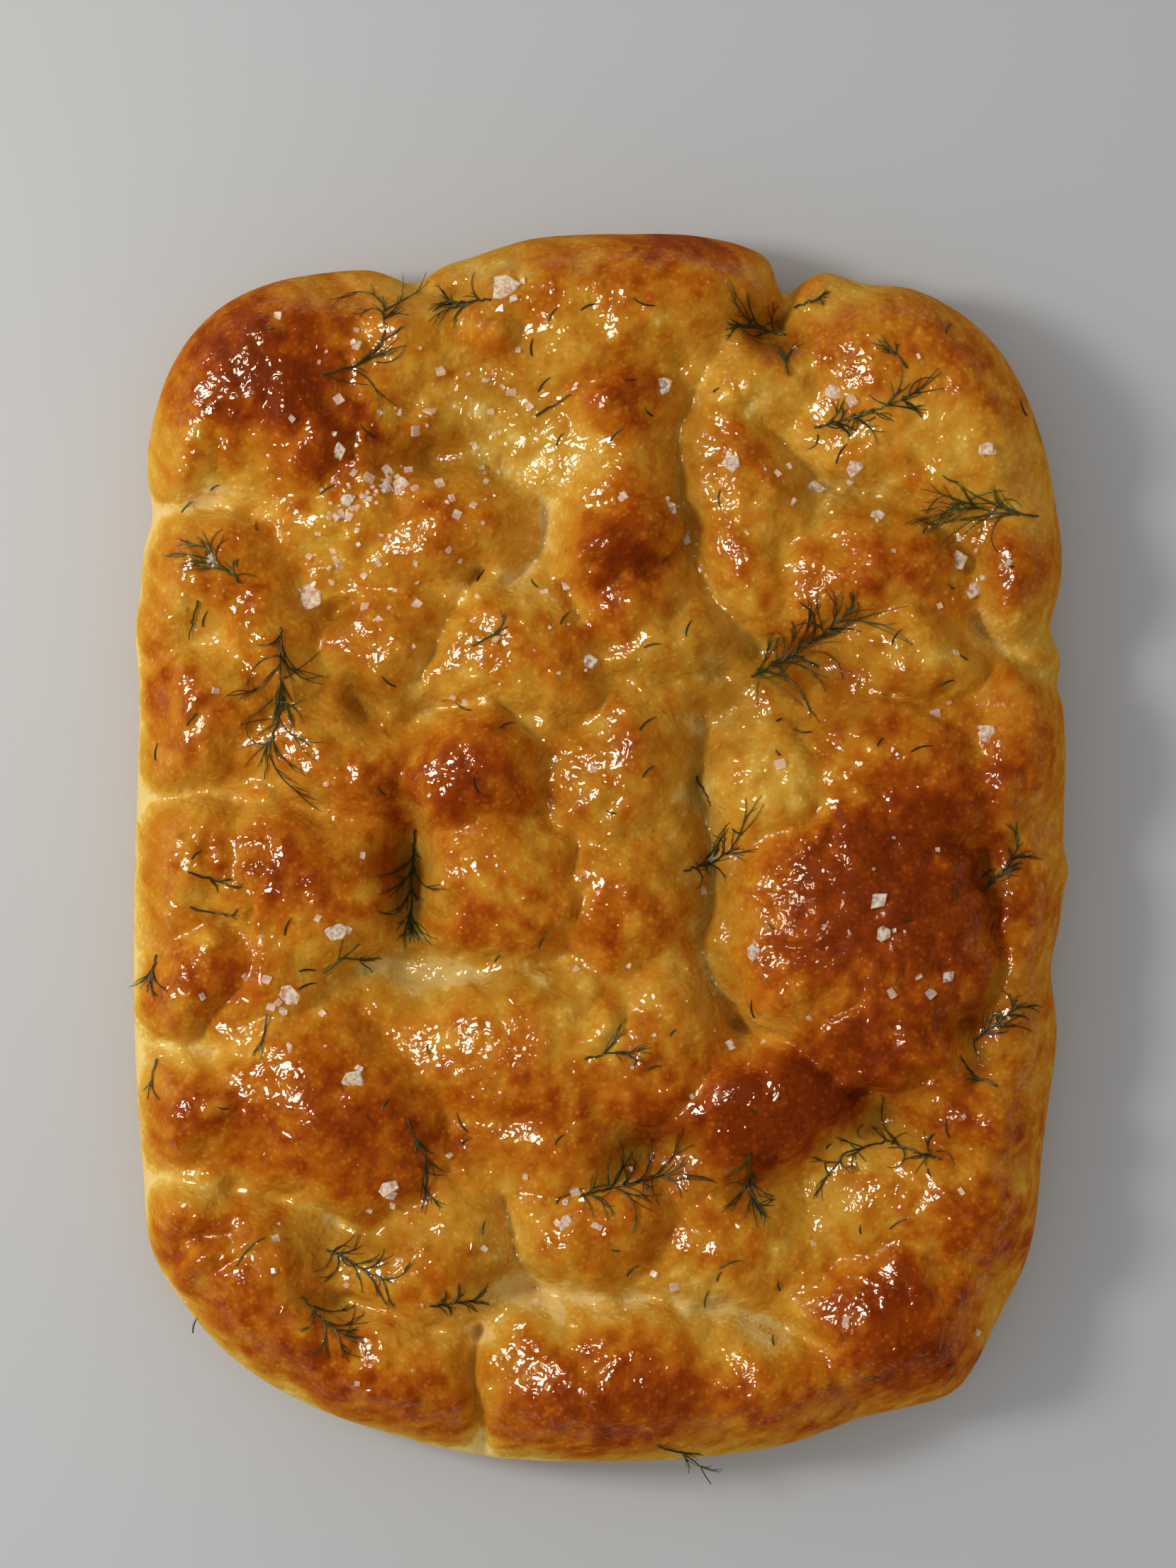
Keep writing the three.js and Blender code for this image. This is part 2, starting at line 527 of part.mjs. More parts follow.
// Lifts the ends of each link until nothing between them touches the crust.
// A fork is also lifted to its threads, so that none climbs steeply from it.
function settle(stemLinks, threads) {
  const samples = 6;
  const rounds = 4;
  const links = [...stemLinks];
  for (const { fork, path } of threads) {
    links.push([fork[0], path[1]], [fork[1], path[1]], [path[1], path[2]]);
  }
  for (let round = 0; round < rounds; round += 1) {
    for (const [from, to] of links) {
      for (let k = 0; k <= samples; k += 1) {
        const t = k / samples;
        const place = new THREE.Vector3().lerpVectors(from, to, t);
        const lift = restHeight(place.x, place.y) - place.z;
        if (lift > 0) {
          from.z += lift * (1 - t);
          to.z += lift * t;
        }
      }
    }
    for (const { fork, aside, path } of threads) {
      for (const end of fork) end.z = Math.max(end.z, path[1].z - STEEPEST * aside);
    }
  }
}

// Past the rim a thread sticks out over the side.
function placeOnCrust(x, y) {
  return new THREE.Vector3(x, y, restHeight(x, y) ?? PAST_RIM);
}

// Lengths of the straight runs of a bent line.
function runLengths(bends) {
  const runs = [];
  for (let i = 0; i + 3 < bends.length; i += 2) {
    runs.push(Math.hypot(bends[i + 2] - bends[i], bends[i + 3] - bends[i + 1]));
  }
  return runs;
}

function lineLength(bends) {
  return runLengths(bends).reduce((sum, run) => sum + run, 0);
}

// The place at a share of the way along a bent line.
function placeAlong(bends, share) {
  const runs = runLengths(bends);
  let left = share * lineLength(bends);
  let k = 0;
  while (k < runs.length - 1 && left > runs[k]) {
    left -= runs[k];
    k += 1;
  }
  const [x0, y0, x1, y1] = bends.slice(2 * k, 2 * k + 4);
  const t = left / runs[k];
  return placeOnCrust(x0 + (x1 - x0) * t, y0 + (y1 - y0) * t);
}

// Nearest distance in plan between two straight links.
function linkDistance([a, b], [c, d]) {
  let nearest = Infinity;
  for (let k = 0; k <= 8; k += 1) {
    const p = new THREE.Vector3().lerpVectors(a, b, k / 8);
    const q = new THREE.Vector3().lerpVectors(c, d, k / 8);
    nearest = Math.min(nearest, creaseDistance(p.x, p.y, [c.x, c.y, d.x, d.y]));
    nearest = Math.min(nearest, creaseDistance(q.x, q.y, [a.x, a.y, b.x, b.y]));
  }
  return nearest;
}

// Where the stem's nodes are, as shares of its length: its root, two for each pair of threads, its tip.
function stemShares(threads, bare, stemLength) {
  const pairs = Math.ceil(threads / 2);
  const step = (STEM_END - bare) / pairs;
  const fork = Math.min(FORK_LENGTH / stemLength, FORK_SHARE * step);
  const shares = [0];
  for (let pair = 0; pair < pairs; pair += 1) {
    const share = bare + step * (pair + 0.3);
    shares.push(share, share + fork);
  }
  shares.push(1);
  return shares;
}

// The threads of a sprig by their number: pairs that grow to both sides of a fork, a link of the stem.
// Threads that would cross an earlier one are shortened, or left out.
function threadPaths([threads, length, spread], stemLinks, seed) {
  const roll = dice(seed);
  const laid = stemLinks.map((link) => ({ link, pair: -1 }));
  const paths = new Map();
  for (let k = 0; k < threads; k += 1) {
    const pair = Math.floor(k / 2);
    const side = k % 2 ? -1 : 1;
    const fork = stemLinks[1 + 2 * pair];
    const base = new THREE.Vector3().lerpVectors(fork[0], fork[1], 2 / 3);
    const heading = Math.atan2(fork[1].y - fork[0].y, fork[1].x - fork[0].x);
    const opening = spread * (0.75 + 0.5 * roll()) * DEGREES;
    const angle = heading + side * opening;
    const full = 0.5 * length * (0.65 + 0.5 * roll());
    const bent = angle + side * (0.5 - roll()) * THREAD_CURL * DEGREES;
    for (const reach of [full, 0.75 * full, 0.5 * full]) {
      const middle = placeOnCrust(base.x + reach * Math.cos(angle), base.y + reach * Math.sin(angle));
      const tip = placeOnCrust(middle.x + reach * Math.cos(bent), middle.y + reach * Math.sin(bent));
      const free = laid.every((other) => {
        if (other.link === fork) return true;
        const nearBase = other.pair === -1 || other.pair === pair;
        if (!nearBase && linkDistance([base, middle], other.link) < CLEAR_OF_THREADS) return false;
        return linkDistance([middle, tip], other.link) > CLEAR_OF_THREADS;
      });
      const open = reach * Math.sin(opening) > CLEAR_OF_STEM;
      if (free && open) {
        laid.push({ link: [base, middle], pair }, { link: [middle, tip], pair });
        paths.set(k, { fork, aside: reach * Math.sin(opening), path: [base, middle, tip] });
        break;
      }
    }
  }
  return paths;
}

// A sprig of dill: a stem with threads to both sides, all laid over the crust.
function sprigSolid(sprig, seed) {
  const [threads, , , bare, ...bends] = sprig;
  const stem = stemShares(threads, bare, lineLength(bends)).map((share) => placeAlong(bends, share));
  const stemLinks = stem.slice(1).map((to, k) => [stem[k], to]);
  const paths = threadPaths(sprig, stemLinks, seed);
  settle(stemLinks, [...paths.values()]);
  const points = [];
  const triangles = [[0, 2, 1]];
  stem.slice(0, -1).forEach((place, k) => {
    const radius = STEM_RADIUS * (1 - (0.4 * k) / stem.length);
    points.push(...threadRing(place, stem[Math.max(0, k - 1)], stem[k + 1], radius));
  });
  for (let k = 0; k + 2 < stem.length; k += 1) {
    const [left, right, below] = [3 * k, 3 * k + 1, 3 * k + 2];
    triangles.push([left, right, right + 3], [left, right + 3, left + 3]);
    triangles.push([below, left, left + 3], [right, below, below + 3]);
    const holes = [[below, left + 3, below + 3], [right + 3, right, below + 3]];
    const pair = k % 2 ? [paths.get(k - 1), paths.get(k)] : [];
    holes.forEach((hole, side) => {
      if (pair[side]) growThread(points, triangles, hole, pair[side].path, THREAD_RADIUS);
      else triangles.push(hole);
    });
  }
  const last = 3 * (stem.length - 2);
  const tip = points.push(stem[stem.length - 1].clone()) - 1;
  for (let corner = 0; corner < 3; corner += 1) triangles.push([last + corner, last + ((corner + 1) % 3), tip]);
  return toSolid(points, triangles);
}

function toThreeMesh(name, solid, colour, roughness) {
  const { vertProperties, triVerts } = solid.getMesh();
  const geometry = new THREE.BufferGeometry();
  geometry.setAttribute("position", new THREE.BufferAttribute(new Float32Array(vertProperties), 3));
  geometry.setIndex(new THREE.BufferAttribute(new Uint32Array(triVerts), 1));
  geometry.translate(SHIFT_X, SHIFT_Y, 0);
  geometry.computeVertexNormals();
  const material = new THREE.MeshStandardMaterial({ color: colour, roughness, metalness: 0 });
  const mesh = new THREE.Mesh(geometry, material);
  mesh.name = name;
  return mesh;
}

const focaccia = new THREE.Group();
focaccia.name = "focaccia";

let loaf = toSolid(slab.points, slab.triangles);
FLAKES.forEach(([x, y, width], k) => {
  loaf = loaf.add(flakeSolid(x, y, width, 101 + k));
});
for (const bit of BITS) loaf = loaf.add(bitSolid(...bit));
focaccia.add(toThreeMesh("loaf", loaf, 0xc68432, 0.35));

SPRIGS.forEach((sprig, k) => {
  const name = `dill_sprig_${String(k + 1).padStart(2, "0")}`;
  focaccia.add(toThreeMesh(name, sprigSolid(sprig, 501 + 13 * k), 0x3a4a22, 0.6));
});

export default focaccia;
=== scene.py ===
"""Focaccia: a dimpled, oiled slab with salt flakes and dill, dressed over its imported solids."""

import math

import bpy
import numpy as np
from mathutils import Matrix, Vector


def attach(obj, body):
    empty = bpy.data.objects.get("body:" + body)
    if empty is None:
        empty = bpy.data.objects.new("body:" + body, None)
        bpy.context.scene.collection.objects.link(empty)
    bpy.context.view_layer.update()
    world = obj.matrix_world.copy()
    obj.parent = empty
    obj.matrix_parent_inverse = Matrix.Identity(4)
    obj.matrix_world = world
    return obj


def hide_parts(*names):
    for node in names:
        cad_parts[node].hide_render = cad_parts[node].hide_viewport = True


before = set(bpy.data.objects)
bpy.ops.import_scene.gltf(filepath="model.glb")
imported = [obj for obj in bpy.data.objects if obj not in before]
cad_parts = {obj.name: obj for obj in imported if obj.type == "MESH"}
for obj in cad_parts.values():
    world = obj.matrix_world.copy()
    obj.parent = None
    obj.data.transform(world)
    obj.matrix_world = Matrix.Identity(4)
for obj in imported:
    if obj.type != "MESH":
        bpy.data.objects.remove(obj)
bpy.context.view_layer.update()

# Sizes are in millimetres about the slab's own middle; MM and SHIFT bring them into the frame.
MM = 0.001
SHIFT = (-0.6, 2.1)

# The slab: the same sizes as the solid.
HALF_WIDTH = 104.5
TOP_LENGTH = 131.0
BOTTOM_LENGTH = 138.0
CORNER_TOP_LEFT = 5.4
CORNER_TOP_RIGHT = 4.6
CORNER_BOTTOM_LEFT = 3.7
CORNER_BOTTOM_RIGHT = 3.65
SIDE_HEIGHT = 13.0
SHOULDER = 17.0
TUCK = 4.0
VALLEY_HEIGHT = 27.0
BLEND = 1.5
FOLD_SLOPE = 2.0
HOLLOW_POWER = 2.4
DOME_POWER = 0.8
DIMPLE_EDGE = 0.62
CREASE_BITE = 0.9

# Mesh of the crust: cells of about 0.9 mm.
CELLS_ACROSS = 236
CELLS_ALONG = 308
SHOULDER_RINGS = 26
SIDE_RINGS = 12

# Where a thread of dill sticks out past the rim.
PAST_RIM = 18.0

# Bulges and dents of the rim: place, out (+) or in (-), half length along the rim, how abrupt.
RIM = [
    (6, 131, 7.3, 27, 4), (43.8, 128, -10, 3, 2), (-43, 128, -5, 4, 2), (61, 126, -1.9, 5, 2),
    (103, 78, 0.9, 14, 2), (105, 65, 0.7, 7, 2), (102, 50, -3, 4, 2), (103, 36, -1.5, 2.5, 2),
    (105, 20, 0.8, 10, 2), (105, -6, 1.2, 3, 2), (101, -29, -3, 7, 2), (99, -68, -3, 16, 2),
    (80, -122, 1.4, 6, 2), (50, -132, -2.6, 18, 2), (-60, -128, -5.2, 22, 2.5), (-101, -90, 2.5, 9, 2),
    (-103, 30, -1, 20, 2), (-105, 48, 0.9, 5, 2), (-103, 62, -1, 8, 2), (-100, 76, -3.8, 5, 2),
    (60, -128, -2.8, 9, 2), (90, -106, -1.8, 8, 2), (-84, -112, -1.2, 16, 2),
]

# Pillows and bubbles of risen dough: x, y, half sizes, turn in degrees, rise, fall-off at the edge.
PILLOWS = {
    "corner_top_left": (-74, 103, 33, 29, 0, 11, 1.1),
    "corner_bubble": (-67, 95, 18, 16, 20, 13, 1.5),
    "shoulder_top_left": (-92, 90, 13, 18, 0, 8, 1.3),
    "left_upper": (-86, 57, 21, 18, 0, 8.5, 1.3),
    "left_middle": (-90, 28, 18, 18, 0, 9, 1.2),
    "left_bridge": (-60, 19, 28, 13, -12, 9, 1.3),
    "left_ridge": (-73, 43, 13, 18, 10, 9, 1.4),
    "left_palm": (-68, -9, 24, 20, -10, 11, 1),
    "left_thumb": (-90, -5, 15, 17, -20, 9, 1.3),
    "left_blister": (-92, -31, 13.5, 13.5, 0, 9, 0.9),
    "left_low": (-73, -31, 15, 13, 0, 7.5, 1.4),
    "chest": (-60, -58, 28, 24, -25, 12, 1.2),
    "left_knob": (-89, -60, 15, 13, 0, 8.5, 1.2),
    "rim_knob": (-93, -82, 13, 10, 10, 6.5, 1.2),
    "rim_blister": (-87, -94, 6.5, 6.5, 0, 8.5, 0.8),
    "corner_bottom_left": (-70, -102, 31, 18, -38, 8.5, 1.2),
    "bottom_left": (-45, -119, 25, 18, -12, 9, 1.1),
    "low_left_knob": (-35, -94, 20, 15, 5, 9, 1.3),
    "low_middle_knob": (-2, -87, 19, 14, 0, 10, 1.2),
    "bottom_middle": (3, -121, 34, 20, 0, 10.5, 0.9),
    "bottom_right": (34, -121, 27, 16, 8, 9, 1.2),
    "low_right_knob": (29, -90, 18, 13, 0, 6.5, 1.6),
    "corner_bottom_right": (67, -107, 25, 19, 15, 11.5, 1.1),
    "right_low": (76, -81, 28, 16, 0, 9.5, 1.1),
    "right_low_rim": (86, -60, 18, 10, 0, 8, 1.3),
    "dark_ridge": (38, -57, 27, 12, 28, 11, 1),
    "great_bubble": (58, -21, 30, 35, 10, 15.5, 0.62),
    "thin_bubble": (44, -31, 12, 11, 0, 16.5, 0.9),
    "great_lobe": (69, -46, 16, 13, -30, 13, 0.8),
    "upper_pale": (39, 14, 15, 14, 0, 11, 0.8),
    "upper_right": (64, 14, 30, 19, 0, 11, 1),
    "thin_knob": (70, 40, 15, 12, 0, 9, 1.1),
    "right_upper": (62, 60, 25, 14, 0, 8.5, 1.3),
    "right_rim_high": (96, 62, 13, 17, 0, 8, 1.2),
    "right_rim_middle": (94, 22, 14, 23, 0, 8.5, 1.2),
    "right_rim_low": (95, -24, 13, 30, 0, 6.5, 1.3),
    "corner_top_right": (76, 102, 34, 28, -20, 11.5, 1),
    "right_arm": (66, 84, 24, 11, -18, 7.5, 1.6),
    "top_inner_right": (38, 104, 20, 11, 25, 7.5, 1.4),
    "middle_right_small": (32, 80, 15, 20, 10, 7, 1.3),
    "middle_right_low": (36, 62, 15, 13, 0, 6, 1.5),
    "top_middle": (2, 122, 46, 20, 0, 10, 0.9),
    "top_knob": (-22, 112, 9.5, 8, 0, 11.5, 1.3),
    "top_left_inner": (-42, 112, 16, 14, 0, 7, 1.5),
    "brow": (4, 97, 13, 11, 0, 9, 1.3),
    "nose": (4, 82, 13, 16, 0, 8, 1.4),
    "dark_bubble": (4, 66, 14.5, 13.5, 0, 14, 0.95),
    "below_dark": (9, 53, 16, 11, 0, 9, 1.4),
    "cheek_left": (-33, 68, 21, 16, 0, 8.5, 1.4),
    "pale_left": (-57, 72, 18, 14, 0, 6.5, 1.6),
    "left_knuckle": (-47, 44, 15, 17, 15, 9, 1.2),
    "middle_pillow": (-18, 43, 24, 18, 20, 9.5, 1.2),
    "middle_olive": (17, 43, 20, 12, 0, 7.5, 1.4),
    "dark_knob": (-27, 15, 16, 15, 10, 13.5, 0.85),
    "heart": (-20, -10, 20, 17, 0, 11.5, 0.75),
    "heart_right": (4, -12, 18, 17, 0, 9.5, 1.2),
    "pale_plain": (7, 14, 18, 20, 0, 7.5, 1.6),
    "belly": (-12, -46, 30, 22, 0, 9.5, 1.1),
    "belly_right": (10, -48, 22, 19, 0, 9, 1.2),
    "pale_blister": (1, -41, 8, 8, 0, 10.5, 1),
    "belly_low": (-8, -66, 26, 11, 0, 7, 1.6),
}

# Finger dimples and hollows: x, y, half sizes, turn in degrees, depth.
DIMPLES = {
    "slot": (-42.5, -8, 5.5, 14.5, 0, 14.5),
    "slot_foot": (-41, -26, 8, 5, 0, 6),
    "dill_hollow_left": (-36, 86, 9, 5, 10, 6),
    "pale_valley": (-22, 84, 10, 14, 30, 3),
    "slit_upper": (-57, 52, 5.5, 2.6, 15, 5),
    "slit_lower": (-53, 32, 3.5, 7, 25, 7),
    "valley_end": (27, 34, 8, 8, 0, 6),
    "dill_hollow_right": (46, 40, 13, 8, 0, 6),
    "cleft_hollow": (38, 115, 9, 5, -15, 8),
    "top_hollow": (-30, 121, 6, 3.6, 0, 4),
    "dark_hollow": (9, -69, 10, 6, 0, 8),
    "dill_hollow_low": (36, -76, 8, 6, 0, 4),
    "wet_hollow": (46, -77, 6, 7, 0, 4),
    "under_bubble": (63, -62, 8, 6, 0, 7),
    "low_valley": (-52, -86, 14, 5, 0, 4.5),
    "low_hollow": (-60, -101, 7, 4, -10, 3.5),
    "dot_upper": (71, 84, 3.6, 3, 0, 2.4),
    "dot_lower": (41, 66, 4.5, 3, 20, 3),
    "dent_upper": (55, 73, 6, 2, 0, 1.5),
    "dent_left": (-89, 47, 6, 8, 0, 4),
    "dent_middle": (-6, 27, 8, 2.6, 0, 2.4),
    "dent_round": (-28, 60, 4, 3, 0, 3),
    "thumb_dent": (-88, -13, 6, 4, 0, 3),
    "rim_dent": (-97, -29, 4, 5, 0, 2.5),
}

# Creases where pillows meet: half width, depth, then the x, y of each bend.
CREASES = {
    "below_corner": (2.5, 4, -103, 74, -88, 76, -78, 73),
    "left_waist": (2.5, 4, -105, 10, -90, 11, -78, 9, -60, 8),
    "left_knee": (2.5, 3, -104, -44, -92, -45, -78, -48),
    "left_hip": (2.5, 3, -102, -74, -88, -76, -70, -79, -58, -83),
    "middle_valley": (5, 5, -52, -28, -38, -31, -20, -29, -10, -26),
    "bottom_line": (2.6, 4.5, -18, -99, -5, -100, 10, -101, 20, -104.5, 29, -103, 40, -107, 50, -111),
    "bottom_cleft": (1.8, 6.5, -27, -108, -28.5, -116, -26.5, -126, -25, -137),
    "bottom_left_line": (2.2, 3.5, -27, -109, -36, -108, -46, -104, -58, -101),
    "knob_left": (2, 3.5, -21, -80, -19, -90, -14, -98),
    "top_cleft": (1.8, 9, 44, 132, 43, 123, 41, 117),
    "top_left_cleft": (2.5, 5, -43, 130, -40, 125, -33, 122),
    "long_valley": (3, 4.5, 27, 110, 22, 101, 18, 93, 18.5, 80, 20, 66, 27, 52, 35, 43),
    "brow_line": (2.4, 3.5, 34, 97, 42, 88, 50, 80, 60, 78.5, 70, 75, 78, 68, 84, 60, 86, 48),
    "right_cleft": (2, 5, 84, 50, 90, 43, 97, 38, 105, 36),
    "great_edge": (3, 7, 22, 27, 22, 12, 25, 0, 25, -12, 22, -22, 26, -33, 31, -40),
    "great_top": (2.5, 3, 31, 30, 24, 25),
    "dark_knob_top": (2, 2.5, -41, 30, -28, 30, -14, 28),
    "diagonal": (2.2, 3.5, -27, 60, -34, 48, -40, 36),
    "cheek_edge": (2.6, 4, -12, 76, -13, 65, -20, 58),
    "nose_edge": (2, 3, -8, 60, -5, 50),
    "ridge_top": (2, 5, 31, -41, 42, -44, 52, -52),
    "olive_line": (1.6, 2, 4, 37, 15, 36, 28, 38),
    "dark_chin": (1.4, 1.6, -2, 61, 6, 60, 14, 63),
}

# Wrinkles and sharp edges of the skin, too narrow for the solid: as the creases.
WRINKLES = {
    "upper_right_edge": (1.4, 1.8, 64, 31, 74, 27, 86, 22, 95, 16, 98, 6, 92, 0, 86, -4),
    "great_right": (1.8, 3.2, 86, -3, 87, -19, 84, -38, 80, -51, 68, -58, 57, -55),
    "thin_knob_ring": (1.2, 1.6, 63, 47, 59, 42, 59, 36, 63, 31, 69, 30, 75, 33),
    "thin_bubble_ring": (1.0, 1.3, 35, -23, 41, -20, 49, -21, 55, -27, 55, -36, 50, -43),
    "bubble_fold_left": (0.9, 0.8, 60, -34, 63, -42, 67, -50, 70, -56),
    "bubble_fold_middle": (0.9, 0.9, 66, -30, 71, -38, 75, -48),
    "bubble_fold_right": (0.9, 0.7, 73, -26, 78, -34, 80, -42),
    "bubble_fold_low": (0.9, 0.8, 52, -45, 60, -50, 68, -53, 76, -52),
    "bubble_top_ring": (0.9, 0.7, 52, -2, 54, 6, 61, 9, 67, 5, 67, -3, 61, -7),
    "upper_pale_ring": (1.0, 1.0, 34, 24, 43, 25, 50, 20, 51, 12, 46, 5, 38, 2),
    "left_blister_ring": (1.2, 1.5, -84, -18, -79, -25, -80, -35, -86, -43),
    "rim_blister_ring": (1.0, 1.3, -91, -87, -83, -87, -79, -94, -84, -101),
    "pale_blister_ring": (0.9, 1.0, -6, -36, 1, -32, 8, -37, 8, -45),
    "heart_split": (1.3, 1.6, -4, 4, -6, -6, -5, -16, -3, -22),
    "palm_fold": (1.2, 1.5, -78, 6, -80, -4, -76, -14, -78, -22),
    "chest_fold": (1.2, 1.2, -78, -52, -74, -60, -76, -70),
    "corner_fold": (1.2, 1.4, -56, 108, -52, 98, -56, 88, -64, 82),
    "shoulder_fold": (1.2, 1.2, -97, 100, -88, 96, -84, 88, -86, 80),
    "bottom_fold": (1.1, 1.0, -22, -110, -10, -108, 2, -110, 14, -108),
}

# Painted shade in hollows, slots and folds: the crust's colour is darkened towards olive there, standing in for the
# shade that falls in them: x, y, half sizes, turn in degrees, amount.
PAINTED_HOLLOW_SHADE = [
    (46, 40, 14, 8, 0, 0.9), (27, 34, 8, 9, 0, 0.8), (23, -2, 5, 27, 0, 0.75), (24, -32, 6, 8, 0, 0.6),
    (38, 115, 9, 6, -15, 1.0), (-42.5, -8, 5, 15, 0, 1.0), (-42, -28, 12, 5, 0, 0.7), (9, -69, 12, 7, 0, 0.7),
    (36, -76, 9, 7, 0, 0.6), (46, -77, 7, 7, 0, 0.5), (63, -62, 12, 6, 0, 0.6), (-36, 87, 11, 6, 10, 0.8),
    (-57, 52, 6, 3, 15, 0.8), (-53, 34, 5, 9, 25, 0.8), (19, 78, 4, 26, 0, 0.55), (-52, -88, 16, 6, 0, 0.7),
    (-60, -101, 9, 5, -10, 0.6), (50, 78, 16, 5, -20, 0.5), (84, 66, 12, 6, -30, 0.5), (90, 42, 9, 7, 0, 0.4),
    (6, 18, 13, 16, 0, 0.35), (20, 44, 16, 8, 0, 0.4), (-28, 122, 10, 6, 0, 0.5), (88, -38, 7, 8, 0, 0.6),
    (-26, 96, 14, 6, 20, 0.4), (-14, 60, 4, 10, 0, 0.2), (-20, -96, 8, 8, 0, 0.5), (88, -2, 6, 9, 0, 0.5),
    (-22, 60, 8, 7, 0, 0.2), (34, 30, 14, 4, 0, 0.4), (-24, -31, 20, 4, 0, 0.5), (-72, 30, 6, 12, 0, 0.4), (56, 30, 14, 7, 0, 0.5), (30, -104, 18, 4, -10, 0.4),
]
